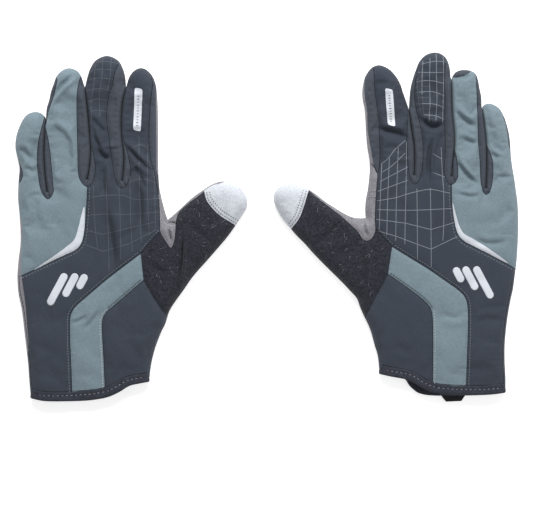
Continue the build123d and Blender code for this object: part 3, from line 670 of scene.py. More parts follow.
def triangulate(loop, polygons, step=STEP):
    """Fills a closed outline with triangles that follow every polygon's edges.
    Returns the plan points, the triangles, and for each triangle the set of polygons it lies in."""
    points, rings = [], []
    for curve in [loop] + list(polygons):
        curve = divide(curve)
        x, y = curve.T
        if np.sum(x * np.roll(y, -1) - np.roll(x, -1) * y) < 0:
            curve = curve[::-1]
        rings.append(list(range(len(points), len(points) + len(curve))))
        points.extend(map(tuple, curve))

    # Rows of points fill the rest of the outline, in a triangular pattern that keeps off the edges.
    row_ratio, seed_gap = 0.866, 0.62
    tree = KDTree(len(points))
    for i, (x, y) in enumerate(points):
        tree.insert((x, y, 0), i)
    tree.balance()
    low, high = loop.min(axis=0), loop.max(axis=0)
    grid = []
    for k, y in enumerate(np.arange(low[1], high[1], step * row_ratio)):
        xs = np.arange(low[0] + (k % 2) * step / 2, high[0], step)
        grid.append(np.column_stack([xs, np.full(len(xs), y)]))
    grid = np.vstack(grid)
    grid = grid[inside(grid, loop)]
    points.extend((x, y) for x, y in grid if tree.find((x, y, 0))[2] > seed_gap * step)

    merge_gap, least_area = 1e-4, 1e-5
    out = delaunay_2d_cdt([Vector(p) for p in points], [], rings, 0, merge_gap, True)
    owners = [set(ids) for ids in out[5]]
    kept = [i for i, ids in enumerate(owners) if 0 in ids]
    corners = np.array([out[2][i] for i in kept])
    used, triangles = np.unique(corners, return_inverse=True)
    triangles = triangles.reshape(corners.shape)
    plan = np.array([v[:] for v in out[0]])[used]
    area = turn_area(*(plan[triangles[:, k]] for k in range(3)))
    good = np.abs(area) > least_area
    triangles = triangles[good]
    flip = area[good] < 0
    triangles[flip] = triangles[flip][:, ::-1]
    return plan, triangles, [owners[i] for i, ok in zip(kept, good) if ok]


def quarter(t):
    """Rises from 0 to 1 as a quarter circle."""
    return np.sqrt(1 - (1 - np.clip(t, 0, 1)) ** 2)


def ease(t):
    """Rises from 0 to 1 with a soft start and end."""
    return t * t * (3 - 2 * t)


def wave(points, scale, seed, stretch=(1, 1)):
    """Smooth noise over the plan, about -0.5 to 0.5, with features of about the given size."""
    sx, sy = stretch
    return np.array([noise.noise(Vector((x * sx / scale, y * sy / scale, seed))) for x, y in points])


def least_distance(points, curves, reach=REACH):
    """Distance from each point to the nearest of several curves."""
    return np.min([np.abs(nearest(points, curve, reach)[0]) for curve in curves], axis=0)


def edge_distance(g, points):
    """Distance from the glove's outer edge, without its hem."""
    return least_distance(points, g["edge_curves"])


def slit_distance(g, points):
    """Distance from the slits between the fingers."""
    return least_distance(points, g["slit_curves"].values())


def hem_distance(g, points, reach):
    """Distance from the hem, as far as the reach."""
    return least_distance(points, [g["hem_curve"]], reach)


def hem_fade(g, points, reach):
    """0 at the hem, 1 from a reach above it."""
    return ease(np.clip(hem_distance(g, points, reach + 1) / reach, 0, 1))


def rounding(edge, slit, edge_reach, slit_reach):
    """0 at the glove's edges and slits, 1 from the given reaches inside them."""
    return np.minimum(
        quarter((edge + EDGE_START) / edge_reach),
        quarter((slit - SLIT_HALF_GAP + EDGE_START) / slit_reach),
    )


def top_height(g, points):
    """Height of the back of the glove over its plan, in millimetres."""
    edge, slit = edge_distance(g, points), slit_distance(g, points)
    crown = np.where(points[:, 1] > KNUCKLE_LINE, FINGER_CROWN, HAND_CROWN)
    full = CREST - CREST_ROOM - SEAM_HEIGHT
    flat_cuff = 34  # below this distance from the hem, the glove lies flatter
    full = full * (0.72 + 0.28 * hem_fade(g, points, flat_cuff))
    z = SEAM_HEIGHT + full * rounding(edge, slit, crown, SLIT_ROUNDING)
    edge_calm = 5  # relief fades out this near to an edge or a slit
    inner = 1 - np.exp(-np.minimum(edge, slit) / edge_calm)

    # Every seam lies in a groove with puckers, and the cloth is padded up between the seams.
    groove_width, pillow_reach, pucker_reach = 0.9, 3.2, 3.0
    seams = [(c, SEAM_GROOVE, SEAM_PILLOW) for c in g["curves"].values()]
    seams += [(c, STRIP_GROOVE, STRIP_PILLOW) for c in g["strip_seams"]]
    nearest_seam = np.full(len(points), 1e9)
    pucker, groove, pillow = (np.zeros(len(points)) for _ in range(3))
    for k, (curve, depth, padding) in enumerate(seams):
        d, s = nearest(points, curve, REACH)
        d = np.abs(d)
        closer = d < nearest_seam
        nearest_seam = np.where(closer, d, nearest_seam)
        ripple = np.sin(s * 1.05 + 2.3 * np.sin(s * 0.31 + k) + k * 1.7)
        pucker = np.where(closer, ripple, pucker)
        groove = np.maximum(groove, depth * np.exp(-((d / groove_width) ** 2)))
        pillow = np.maximum(pillow, padding * np.exp(-d / pillow_reach))
    z += inner * (1.0 - pillow - groove)
    z += inner * PUCKER * pucker * np.exp(-nearest_seam / pucker_reach)

    # A fold is steeper on one side, has a low ridge beside it and runs out at both ends.
    for line, depth, width in g["folds"]:
        curve = smooth(line)
        d, s = nearest(points, curve, 5 * width)
        total = np.hypot(*np.diff(curve, axis=0).T).sum()
        ends = ease(np.clip(np.minimum(s, total - s) / (0.3 * total), 0, 1))
        valley = np.exp(-((d / np.where(d > 0, width * 0.5, width * 0.9)) ** 2))
        ridge = np.exp(-(((d - width * 1.5) / (width * 0.8)) ** 2))
        z += inner * FOLD_DEPTH * depth * (valley - 0.5 * ridge) * (0.1 + 0.9 * ends)

    # The cloth lies a little unevenly everywhere, most of all away from its seams.
    slow = wave(points, 21, 3.1, (1.2, 0.8)) * 1.0 + wave(points, 9, 7.7, (1.4, 0.8)) * 0.42
    z += inner * slow * (0.55 + 0.45 * np.clip(nearest_seam / 8, 0, 1))
    return z


def bottom_height(g, points):
    """Height of the palm side over its plan, in millimetres."""
    edge, slit = edge_distance(g, points), slit_distance(g, points)
    rise = rounding(edge, slit, PALM_ROUNDING, PALM_SLIT_ROUNDING)
    on_digit = np.zeros(len(points), bool)
    for polygon in g["digits"].values():
        on_digit |= inside(points, polygon)
    level = np.where(on_digit, FINGER_LEVEL, PALM_LEVEL)
    cuff_rise, cuff_reach = 0.8, 26
    level = level + cuff_rise * (1 - hem_fade(g, points, cuff_reach))
    ruffle = np.abs(wave(points, 10, 15.2, (1, 1.5))) * 0.9 + np.abs(wave(points, 23, 1.2)) * 0.8
    return SEAM_HEIGHT - (SEAM_HEIGHT - level - ruffle * 0.5) * rise


# ---------------------------------------------------------------- materials


def new_material(name, inputs):
    """A material whose Principled shader has the given inputs, and that shader."""
    made = bpy.data.materials.new(name)
    made.use_nodes = True
    shader = made.node_tree.nodes["Principled BSDF"]
    for key, value in inputs.items():
        shader.inputs[key].default_value = value
    return made, shader


def material(name, colour, roughness, build, sheen=0.0):
    """A fabric or trim; build adds its pattern nodes."""
    made, shader = new_material(name, {
        "Base Color": (*colour, 1),
        "Roughness": roughness,
        "Specular IOR Level": 0.3,
        "Sheen Weight": sheen,
        "Sheen Roughness": 0.5,
    })
    build(Nodes(made.node_tree, shader, colour))
    return made


class Nodes:
    """Short calls for the few node kinds that the fabrics use."""

    def __init__(self, tree, shader, colour):
        self.tree, self.shader, self.base = tree, shader, colour
        self.place = self.add("ShaderNodeTexCoord").outputs["Object"]

    def add(self, kind, inputs=(), **settings):
        """A node with its settings, and its inputs set or linked."""
        node = self.tree.nodes.new(kind)
        for key, value in settings.items():
            setattr(node, key, value)
        for key, value in dict(inputs).items():
            self.put(node.inputs[key], value)
        return node

    def put(self, socket, value):
        if isinstance(value, bpy.types.NodeSocket):
            self.tree.links.new(value, socket)
        else:
            socket.default_value = value

    def noise(self, scale, detail=3.0, rough=0.55):
        inputs = {"Vector": self.place, "Scale": scale, "Detail": detail, "Roughness": rough}
        return self.add("ShaderNodeTexNoise", inputs).outputs["Fac"]

    def cells(self, scale, feature="F1"):
        inputs = {"Vector": self.place, "Scale": scale}
        return self.add("ShaderNodeTexVoronoi", inputs, feature=feature).outputs["Distance"]

    def math(self, operation, a, b=0.0):
        return self.add("ShaderNodeMath", {0: a, 1: b}, operation=operation).outputs[0]

    def ramp(self, value, low, high, to_low=0.0, to_high=1.0):
        inputs = {"Value": value, "From Min": low, "From Max": high, "To Min": to_low, "To Max": to_high}
        return self.add("ShaderNodeMapRange", inputs, clamp=True).outputs["Result"]

    def mix(self, factor, a, b):
        inputs = {"Factor": factor, "A": a, "B": b}
        return self.add("ShaderNodeMix", inputs, data_type="RGBA").outputs["Result"]

    def tones(self, value, low, high, first, last):
        """The base colour, from its first to its last shade as the value rises from low to high."""
        return self.mix(self.ramp(value, low, high), shade(self.base, first), shade(self.base, last))

    def worn(self, value, low, high, amount, colour, factor):
        """The colour, turned towards a shade of the base colour by up to the amount."""
        return self.mix(self.ramp(value, low, high, 0.0, amount), colour, shade(self.base, factor))

    def weave(self, pitch):
        """A fine knit: sine ribs both ways, in metres of pitch."""
        parts = self.add("ShaderNodeSeparateXYZ", {0: self.place})
        turns = 2 * math.pi / pitch
        across = self.math("SINE", self.math("MULTIPLY", parts.outputs["X"], turns))
        up = self.math("SINE", self.math("MULTIPLY", parts.outputs["Y"], turns * 0.8))
        return self.math("MULTIPLY", across, up)

    def colour(self, value):
        self.put(self.shader.inputs["Base Color"], value)

    def rough(self, value):
        self.put(self.shader.inputs["Roughness"], value)

    def bump(self, height, strength, distance):
        node = self.add("ShaderNodeBump", {"Height": height, "Strength": strength, "Distance": distance})
        self.put(self.shader.inputs["Normal"], node.outputs["Normal"])


def shade(colour, factor):
    """The colour made darker or lighter by a factor."""
    return (*[min(1.0, c * factor) for c in colour], 1)


def softshell(n):
    """Stretch softshell: a fine knit face, slightly heathered, rubbed lighter in broad patches."""
    heather = n.noise(750, 3, 0.7)
    broad = n.noise(26, 4, 0.6)
    base = n.tones(heather, 0.3, 0.7, 0.86, 1.13)
    n.colour(n.worn(broad, 0.35, 0.72, 0.35, base, 1.22))
    n.rough(n.ramp(broad, 0.3, 0.7, 0.78, 0.92))
    height = n.math("ADD", n.math("MULTIPLY", n.weave(0.0007), 0.35), n.math("MULTIPLY", heather, 0.8))
    n.bump(height, 0.55, 0.00022)


def fleece(n):
    """Short brushed pile with a few specks of lint."""
    pile = n.noise(700, 4, 0.75)
    clumps = n.noise(190, 3, 0.6)
    base = n.tones(pile, 0.38, 0.62, 0.5, 1.75)
    base = n.worn(clumps, 0.45, 0.7, 0.25, base, 1.6)
    near = n.ramp(n.cells(330), 0.07, 0.13, 1.0, 0.0)
    chance = n.noise(95, 1, 0.5)
    shown = n.math("MULTIPLY", near, n.ramp(chance, 0.56, 0.6))
    n.colour(n.mix(shown, base, (0.17, 0.17, 0.17, 1)))
    n.rough(0.95)
    n.bump(n.math("ADD", pile, clumps), 0.9, 0.0005)


def suede(n):
    """Synthetic suede: fine nap, with lighter rubbed patches."""
    nap = n.noise(800, 4, 0.75)
    broad = n.noise(45, 4, 0.65)
    base = n.tones(nap, 0.36, 0.64, 0.66, 1.3)
    n.colour(n.worn(broad, 0.35, 0.75, 0.5, base, 1.25))
    n.rough(n.ramp(broad, 0.3, 0.7, 0.8, 0.93))
    n.bump(n.math("ADD", nap, n.noise(260, 3, 0.6)), 0.6, 0.0003)


def grain(n):
    """Smooth leather with a pebbled grain, its tops paler and its broad patches darker."""
    tops = n.ramp(n.cells(850, "SMOOTH_F1"), 0.15, 0.6, 1.0, 0.0)
    broad = n.noise(60, 4, 0.6)
    base = n.mix(tops, shade(n.base, 0.88), shade(n.base, 1.06))
    n.colour(n.worn(broad, 0.4, 0.75, 0.4, base, 0.9))
    n.rough(n.ramp(broad, 0.3, 0.7, 0.5, 0.66))
    n.bump(n.math("ADD", tops, broad), 0.5, 0.00018)


def knit_tape(n):
    """Ribbed knitted binding."""
    ribs = n.weave(0.0016)
    broad = n.noise(420, 4, 0.75)
    base = n.tones(ribs, -1, 1, 0.6, 1.4)
    n.colour(n.worn(broad, 0.4, 0.65, 0.6, base, 1.9))
    n.rough(n.ramp(broad, 0.3, 0.7, 0.85, 0.95))
    n.bump(n.math("ADD", ribs, broad), 0.8, 0.0003)


def film(n):
    """Heat-bonded reflective film: fine glass-bead grain, a little scuffed."""
    beads = n.noise(2200, 2, 0.6)
    scuff = n.noise(70, 5, 0.7)
    base = n.tones(beads, 0.3, 0.7, 0.94, 1.04)
    n.colour(n.worn(scuff, 0.55, 0.8, 0.45, base, 0.82))
    n.rough(n.ramp(scuff, 0.3, 0.7, 0.42, 0.6))
    n.bump(beads, 0.3, 0.0001)


def thread(n):
    """Twisted thread."""
    twist = n.noise(2600, 2, 0.6)
    n.colour(n.tones(twist, 0.3, 0.7, 0.75, 1.2))
    n.bump(twist, 0.5, 0.0001)


def rubber_dot(n):
    """Silicone grip print."""
    cloud = n.noise(300, 3, 0.6)
    n.colour(n.tones(cloud, 0.3, 0.7, 0.85, 1.15))
    n.rough(n.ramp(cloud, 0.3, 0.7, 0.35, 0.5))
    n.bump(cloud, 0.3, 0.0001)


TEAL = (0.185, 0.245, 0.280)
SLATE = (0.040, 0.049, 0.068)
MATERIALS = {
    "teal": material("teal_softshell", TEAL, 0.85, softshell, 0.06),
    "dark": material("dark_softshell", SLATE, 0.85, softshell, 0.06),
    "strip": material("side_strip", (0.058, 0.068, 0.088), 0.85, softshell, 0.06),
    "fleece": material("black_fleece", (0.021, 0.0225, 0.031), 0.95, fleece, 0.1),
    "suede": material("palm_suede", (0.232, 0.226, 0.250), 0.88, suede, 0.1),
    "pad": material("pad_leather", (0.060, 0.062, 0.074), 0.6, grain),
    "tip": material("tip_leather", (0.640, 0.672, 0.725), 0.6, grain),
    "tape": material("binding_tape", (0.033, 0.037, 0.049), 0.9, knit_tape),
    "lining": material("cuff_lining", (0.045, 0.047, 0.055), 0.95, fleece),
    "webbing": material("webbing", (0.022, 0.022, 0.026), 0.85, knit_tape),
    "film": material("reflective_film", (0.680, 0.710, 0.770), 0.5, film),
    "print": material("grid_print", (0.235, 0.255, 0.290), 0.6, film),
    "faint_print": material("worn_grid_print", (0.098, 0.110, 0.132), 0.6, film),
    "label": material("label_satin", (0.600, 0.610, 0.620), 0.6, thread),
    "light_thread": material("light_thread", (0.560, 0.600, 0.620), 0.7, thread),
    "grey_thread": material("grey_thread", (0.210, 0.245, 0.270), 0.7, thread),
    "binding_thread": material("binding_thread", (0.360, 0.390, 0.420), 0.7, thread),
    "lint": material("lint", (0.300, 0.300, 0.300), 0.9, thread),
    # dark lines along the seams, partly sewn line and partly painted shade for each seam's groove; also the
    # dark dashes between the binding's stitches
    "seam": material("seam_shade_and_thread", (0.016, 0.018, 0.024), 0.9, thread),
    "dark_thread": material("dark_thread", (0.060, 0.064, 0.076), 0.7, thread),
    "grip": material("silicone_grip", (0.085, 0.090, 0.100), 0.45, rubber_dot),
}

# ---------------------------------------------------------------- pieces


def normals_of(vertices, triangles):
    """Smooth normals at the vertices of a mesh."""
    a, b, c = (vertices[triangles[:, k]] for k in range(3))
    face = np.cross(b - a, c - a)
    result = np.zeros_like(vertices)
    for k in range(3):
        np.add.at(result, triangles[:, k], face)
    return result / np.maximum(np.linalg.norm(result, axis=1), 1e-12)[:, None]


def open_edges(triangles):
    """The edges that only one triangle has, each in that triangle's direction."""
    edges = np.vstack([triangles[:, [0, 1]], triangles[:, [1, 2]], triangles[:, [2, 0]]])
    directed = set(map(tuple, edges))
    return sorted((a, b) for a, b in directed if (b, a) not in directed)


def thicken(vertices, triangles, thickness, normals=None):
    """Gives a sheet a thickness on its inner side, closed round its rim."""
    if normals is None:
        normals = normals_of(vertices, triangles)
    inner = vertices - normals * thickness
    n = len(vertices)
    faces = [tuple(t) for t in triangles] + [tuple(t[::-1] + n) for t in triangles]
    faces += [(b, a, a + n, b + n) for a, b in open_edges(triangles)]
    return np.vstack([vertices, inner]), faces


def tree_of(vertices, faces):
    """The mesh in a form that rays can be cast at."""
    return BVHTree.FromPolygons([tuple(v) for v in vertices], [tuple(map(int, f)) for f in faces])


def attach(piece, g, digit):
    """Joins a hand piece to the hand's body. A digit's piece joins no body and doesn't bend: a line along its
    root is worked out but not used, and its transform is baked in.
    """
    side = g["side"]
    if digit == "hand":
        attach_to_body(piece, f"{side}_hand")
        return
    if digit == "thumb":
        (x0, y0), (x1, y1) = g["thumb_split"][:2]
        along = np.array([y0 - y1, x1 - x0]) * g["sign"]
        start = np.array([x0 + x1, y0 + y1]) / 2
        end = start + along / np.hypot(*along) * BEND_LENGTH
    else:
        y = g["splits"][digit]
        start, end = (0, y), (0, y + BEND_LENGTH)
    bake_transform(piece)


def new_object(name, vertices, faces):
    """A mesh object in the scene."""
    mesh = bpy.data.meshes.new(name)
    mesh.from_pydata([tuple(v) for v in vertices], [], [tuple(map(int, f)) for f in faces])
    made = bpy.data.objects.new(name, mesh)
    bpy.context.scene.collection.objects.link(made)
    return made


def make_piece(g, label, vertices, faces, look, digit="hand", node=None, normals=None):
    """A piece in metres from vertices in millimetres. It joins the hand's body, or for a digit only has its
    transform baked in, and replaces the CAD node that is named. Where the normals of a cut sheet's outer side
    are given, they are kept, so that no line shows where one cloth crosses from body to body."""
    side = g["side"]
    piece = new_object(f"{side}_{label}", np.asarray(vertices) * MM, faces)
    piece.data.shade_smooth()
    if normals is not None:
        keep_normals(piece.data, faces, normals)
    piece.data.materials.append(MATERIALS[look])
    attach(piece, g, digit)
    if node:
        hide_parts(f"{side}_{node}")
    return piece


def keep_normals(mesh, faces, normals):
    """Sets the corner normals of a thickened sheet: its own outside and inside, and square rims."""
    n = len(normals)
    both = np.vstack([normals, -normals])
    points = np.array([v.co[:] for v in mesh.vertices])
    corners = []
    for face in faces:
        outside = sum(i < n for i in face)
        if outside in (0, len(face)):
            corners.extend(both[list(face)])
        else:
            a, b, c = points[list(face[:3])]
            rim = np.cross(b - a, c - a)
            corners.extend([rim / max(np.linalg.norm(rim), 1e-12)] * len(face))
    mesh.normals_split_custom_set([tuple(c) for c in corners])


def sub_mesh(vertices, triangles, normals, chosen):
    """The chosen triangles with only the vertices they use, and those vertices' normals."""
    tris = triangles[chosen]
    used, inverse = np.unique(tris, return_inverse=True)
    return vertices[used], inverse.reshape(tris.shape), normals[used]


def cut_panel(g, which, chosen, thickness, lift=0.0):
    """A thickened piece of the glove's back or palm."""
    vertices, triangles, _, normals = g[which]
    v, t, n = sub_mesh(vertices, triangles, normals, chosen)
    v, f = thicken(v + n * lift, t, thickness, n)
    return v, f, n


def merge(parts):
    """Several (vertices, faces) as one."""
    vertices, faces = [], []
    for v, f in parts:
        faces += [tuple(int(i) + len(vertices) for i in face) for face in f]
        vertices += [tuple(p) for p in v]
    return np.array(vertices), faces


def add_by_body(g, label, found, look):
    """Collects (digit, (vertices, faces)) finds into one piece for each body they lie on."""
    bins = {}
    for digit, made in found:
        bins.setdefault(digit, []).append(made)
    for digit, parts in bins.items():
        make_piece(g, f"{label}_{digit}", *merge(parts), look, digit)


def tube_faces(first, rings, size):
    """Faces of a tube of rings of points, numbered from the first point, with both ends closed."""
    faces = []
    for p in range(first, first + (rings - 1) * size, size):
        for k in range(size):
            n = (k + 1) % size
            faces.append((p + k, p + n, p + n + size, p + k + size))
    last = first + (rings - 1) * size
    faces.append(tuple(range(first, first + size))[::-1])
    faces.append(tuple(range(last, last + size)))
    return faces


def relax(g):
    """Lets the back of the glove crumple as cloth: a coarse copy, a little larger than the space it is
    sewn into, is held at its edges and more loosely at its seams, and buckles under light pressure.
    Returns a function that gives the rise or fall of the cloth at any plan point, in millimetres."""
    loop = resample(close(g["loop"]), SIM_STEP)[:-1]
    plan, tris, _ = triangulate(loop, [], SIM_STEP)
    start = np.column_stack([plan, top_height(g, plan)])
    cloth = new_object("crumple", start * SIM_SCALE, tris)

    # The cloth is held firmly at its edges and hem, and a little along its seams.
    hold = cloth.vertex_groups.new(name="held")
    edge = np.minimum(edge_distance(g, plan), slit_distance(g, plan))
    hem = hem_distance(g, plan, 20)
    seam = least_distance(plan, g["curves"].values(), 12)
    weight = np.clip(1 - (np.minimum(edge, hem - 3) - 1.0) / 2.5, 0, 1)
    weight = np.maximum(weight, 0.25 * np.exp(-((seam / 1.5) ** 2)))
    for i, w in enumerate(weight):
        if w > 0.01:
            hold.add([i], float(w), "REPLACE")

    modifier = cloth.modifiers.new("cloth", "CLOTH")
    settings = modifier.settings
    settings.quality = 6
    settings.mass = 0.3
    settings.tension_stiffness = settings.compression_stiffness = 18
    settings.shear_stiffness = 8
    settings.bending_stiffness = 1.2
    settings.vertex_group_mass = "held"
    settings.pin_stiffness = 2
    settings.shrink_min = -CLOTH_SLACK
    settings.use_pressure = True
    settings.uniform_pressure_force = 0.25
    settings.effector_weights.gravity = 0
    modifier.collision_settings.use_collision = False
    scene = bpy.context.scene
    for step in range(1, SIM_FRAMES + 1):
        scene.frame_set(step)
    shape = cloth.evaluated_get(bpy.context.evaluated_depsgraph_get()).to_mesh()
    rise = np.array([v.co.z for v in shape.vertices]) / SIM_SCALE - start[:, 2]
    scene.frame_set(1)
    bpy.data.objects.remove(cloth)
    smoother = 0.38 + 0.62 * np.clip((plan[:, 1] + 30) / 70, 0, 1)  # less on the back of the hand
    rise = SIM_CAP * np.tanh(rise / SIM_CAP) * (1 - weight) * smoother * np.clip((hem - 5) / 10, 0, 1)
    flat = tree_of(np.column_stack([plan, np.zeros(len(plan))]), tris)

    def at(points):
        result = np.zeros(len(points))
        for i, (x, y) in enumerate(points):
            spot, _, face, _ = flat.find_nearest(Vector((x, y, 0)))
            a, b, c = plan[tris[face]]
            spot = np.array(spot[:2])
            area = turn_area(a, b, c)
            v, w = turn_area(a, spot, c) / area, turn_area(a, b, spot) / area
            at_a, at_b, at_c = rise[tris[face]]
            result[i] = (1 - v - w) * at_a + v * at_b + w * at_c
        return result

    return at


def digit_of(ids):
    """The digit a triangle lies on, from the numbers of the polygons it lies in."""
    return next((digit for k, digit in enumerate(DIGITS) if k + 1 in ids), "hand")


def lay_back(g):
    """The glove's back as one surface. Each triangle is labelled with its digit and its kind of cloth."""
    groups = [[g["digits"][d] for d in DIGITS], g["strip_polygons"], g["web_polygons"]]
    groups.append([g["kinds"][kind] for kind in KINDS] + g["slit_guides"])
    plan, tris, owners = triangulate(g["loop"], sum(groups, []))
    z = top_height(g, plan)
    z += relax(g)(plan)
    top = np.column_stack([plan, z])

    first_strip, first_web, first_kind = 1 + np.cumsum([len(group) for group in groups[:3]])
    labels = []
    for ids in owners:
        digit = digit_of(ids)
        kind = next((name for k, name in enumerate(KINDS) if first_kind + k in ids), "centre")
        if kind != "piping" and any(first_strip <= i < first_web for i in ids):
            kind = "strip"
        if any(first_web <= i < first_kind for i in ids):
            kind = "web"
        if digit == "thumb":
            kind = kind if kind in ("web", "cap") else "back"
        elif digit != "hand" and kind not in ("strip", "web"):
            kind = "back"
        elif digit == "hand" and kind == "cap":
            kind = "fleece"
        labels.append(f"{digit}/{kind}")
    g["top"] = tree_of(top, tris)
    g["top_mesh"] = (top, tris, np.array(labels), normals_of(top, tris))


def lay_palm(g):
    """The glove's palm side as one surface. Each triangle is labelled with its digit."""
    plan, tris, owners = triangulate(g["loop"], [g["digits"][d] for d in DIGITS], PALM_STEP)
    bottom = np.column_stack([plan, bottom_height(g, plan)])
    bottom[:, 1] -= palm_drop(g, plan)
    tris = tris[:, ::-1]
    g["bottom"] = tree_of(bottom, tris)
    g["bottom_mesh"] = (bottom, tris, np.array([digit_of(ids) for ids in owners]), normals_of(bottom, tris))


def build_shell(g):
    """The glove's cloth: back panels and palm, cut along the seams."""
    lay_back(g)
    lay_palm(g)

    def cut(which, region, label, look, digit="hand", node=None, thickness=CLOTH, lift=0.0):
        chosen = g[which][2] == region
        if chosen.any():
            v, f, n = cut_panel(g, which, chosen, thickness, lift)
            make_piece(g, label, v, f, look, digit, node, n)

    for kind, label, look, node in (
        ("centre", "back_centre", "dark", "back_centre_panel"),
        ("ulnar", "back_ulnar", "teal", "back_ulnar_panel"),
        ("band", "back_band", "teal", "back_band"),
        ("wrist", "back_wrist", "dark", "back_wrist_panel"),
        ("fleece", "thumb_base", "fleece", "thumb_base_panel"),
        ("strip", "finger_gussets", "strip", None),
    ):
        cut("top_mesh", f"hand/{kind}", label, look, node=node)
    cut(
        "top_mesh", "hand/piping", "reflective_piping", "film", node="reflective_piping",
        thickness=0.5, lift=0.14,
    )

    joined = [("hand", "palm", "palm_panel"), ("thumb", "thumb_palm", "thumb_palm")]
    joined += [(d, f"{d}_palm", f"{d}_palm") for d in FINGERS]
    for digit, label, node in joined:
        cut("bottom_mesh", digit, label, "suede", digit, node)
        cut("top_mesh", f"{digit}/web", f"{label}_edge", "suede", digit)

    for digit in FINGERS:
        look = "teal" if digit in ("ring", "little") else "dark"
        cut("top_mesh", f"{digit}/back", f"{digit}_back", look, digit, f"{digit}_back")
        cut("top_mesh", f"{digit}/strip", f"{digit}_sides", "strip", digit, f"{digit}_sides")
    cut("top_mesh", "thumb/back", "thumb_back", "fleece", "thumb", "thumb_back")
    cut("top_mesh", "thumb/cap", "thumb_tip_cap", "tip", "thumb", "thumb_tip_cap")


def palm_drop(g, points):
    """How far the palm side hangs out below the back at the cuff, in millimetres."""
    x, drop = np.array(g["palm_drop"]).T
    t = np.clip(1 - hem_distance(g, points, DROP_REACH + 1) / DROP_REACH, 0, 1)
    return np.interp(np.abs(points[:, 0]), x, drop) * t * t * (3 - 2 * t)


def pad_outline(centre, angle, length, width, margin=0.0):
    """A long pad with round ends, as a closed outline."""
    half, radius = (length - width) / 2, width / 2 - margin
    arc_points = 16
    turn = np.linspace(-math.pi / 2, math.pi / 2, arc_points)
    right = np.column_stack([half + radius * np.cos(turn), radius * np.sin(turn)])
    outline = np.vstack([right, -right])
    a = math.radians(angle)
    spin = np.array([[math.cos(a), math.sin(a)], [-math.sin(a), math.cos(a)]])
    return resample(close(outline) @ spin + np.array(centre))[:-1]


def surface_z(tree, x, y, down=True):
    """Height and normal of the glove's surface at a point of the plan, seen from above or from below."""
    beyond = 60
    way = -1 if down else 1
    hit = tree.ray_cast(Vector((x, y, -beyond * way)), Vector((0, 0, way)))
    return None if hit[0] is None else (hit[0].z, hit[1])


def digit_at(g, x, y):
    """The digit that a plan point is on, or the hand."""
    point = np.array([[x, y]])
    for name, polygon in g["digits"].items():
        if inside(point, polygon)[0]:
            return name
    return "hand"


def stitch_row(
    g, curve, offset=0, pitch=2.1, length=1.3, width=0.42, lift=0.16, below=False, tree=None, anywhere=False
):
    """Small thread stitches along a curve, as one (digit, mesh) for each body they lie on."""
    fine_step, end_lift = 0.5, 0.02
    line = offset_curve(resample(curve, fine_step), offset)
    along = distances(line)
    tree = tree or (g["bottom"] if below else g["top"])
    found = {}
    s = pitch / 2
    while s < along[-1] - length:
        spots = []
        for t, height in ((s, end_lift), (s + length / 2, lift), (s + length, end_lift)):
            x, y = np.interp(t, along, line[:, 0]), np.interp(t, along, line[:, 1])
            hit = surface_z(tree, x, y, not below)
            if hit is None or not (anywhere or inside(np.array([[x, y]]), g["loop"])[0]):
                break
            up = hit[1].normalized()
            spots.append(Vector((x, y, hit[0])) + up * height)
        if len(spots) == 3:
            found.setdefault(digit_at(g, spots[1].x, spots[1].y), []).append((spots, up))
        s += pitch
    return [(digit, thread_mesh(stitches, width)) for digit, stitches in found.items()]


def thread_mesh(stitches, width):
    """Each stitch is a short, slightly flat thread that dives into the cloth at both ends."""
    sides, flatness = 6, 0.75
    vertices, faces = [], []
    for (a, m, b), up in stitches:
        run = (b - a).normalized()
        side = run.cross(up).normalized()
        rings = (
            (a - run * 0.1, 0.25), (a + (m - a) * 0.45, 0.9), (m, 1.0), (b + (m - b) * 0.45, 0.9),
            (b + run * 0.1, 0.25),
        )
        faces += tube_faces(len(vertices), len(rings), sides)
        for centre, size in rings:
            for k in range(sides):
                angle = k * math.pi / (sides / 2)
                around = side * math.cos(angle) + up * (flatness * math.sin(angle))
                vertices.append(tuple(centre + around * (width / 2 * size)))
    return vertices, faces


def add_stitches(g, label, rows, look):
    """Rows of stitches, as one piece for each body they lie on."""
    add_by_body(g, label, [found for row in rows for found in row], look)


# ---------------------------------------------------------------- trims


def drape(g, outline, step, lift, thickness, below=False):
    """A flat trim with the given outline, laid on the glove's surface."""
    plan, tris, _ = triangulate(resample(close(outline), step)[:-1], [], step)
    tree = g["bottom"] if below else g["top"]
    points = []
    for x, y in plan:
        hit = surface_z(tree, x, y, not below)
        points.append((x, y, hit[0] if hit else SEAM_HEIGHT))
    points = np.array(points)
    if below:
        tris = tris[:, ::-1]
    n = normals_of(points, tris)
    v, f = thicken(points + n * lift, tris, thickness, n)
    return v, f, n


def rounded(corners, radius=1.6):
    """A closed outline with its corners rounded."""
    corners = [Vector(c) for c in corners]
    points = []
    steps = 5
    for before, corner, after in zip(corners[-1:] + corners[:-1], corners, corners[1:] + corners[:1]):
        start = corner + (before - corner).normalized() * radius
        end = corner + (after - corner).normalized() * radius
        for k in range(steps + 1):
            t = k / steps
            points.append((start * (1 - t) ** 2 + corner * 2 * t * (1 - t) + end * t * t)[:])
    return np.array(points)


def region_at(g, points):
    """For plan points, the digit each is on and whether its cloth takes the grid print."""
    digit = np.full(len(points), "hand", dtype="<U8")
    for name in reversed(DIGITS):
        digit[inside(points, g["digits"][name])] = name
    plain = inside(points, g["loop"])
    for polygon in g["strip_polygons"] + g["web_polygons"]:
        plain &= ~inside(points, polygon)
    for kind in KINDS:
        blocks = inside(points, g["kinds"][kind])
        if kind == "ulnar":
            blocks &= digit == "hand"
        plain &= ~blocks
    plain &= (digit == "hand") | (digit == "middle") | (digit == "index")
    return digit, plain


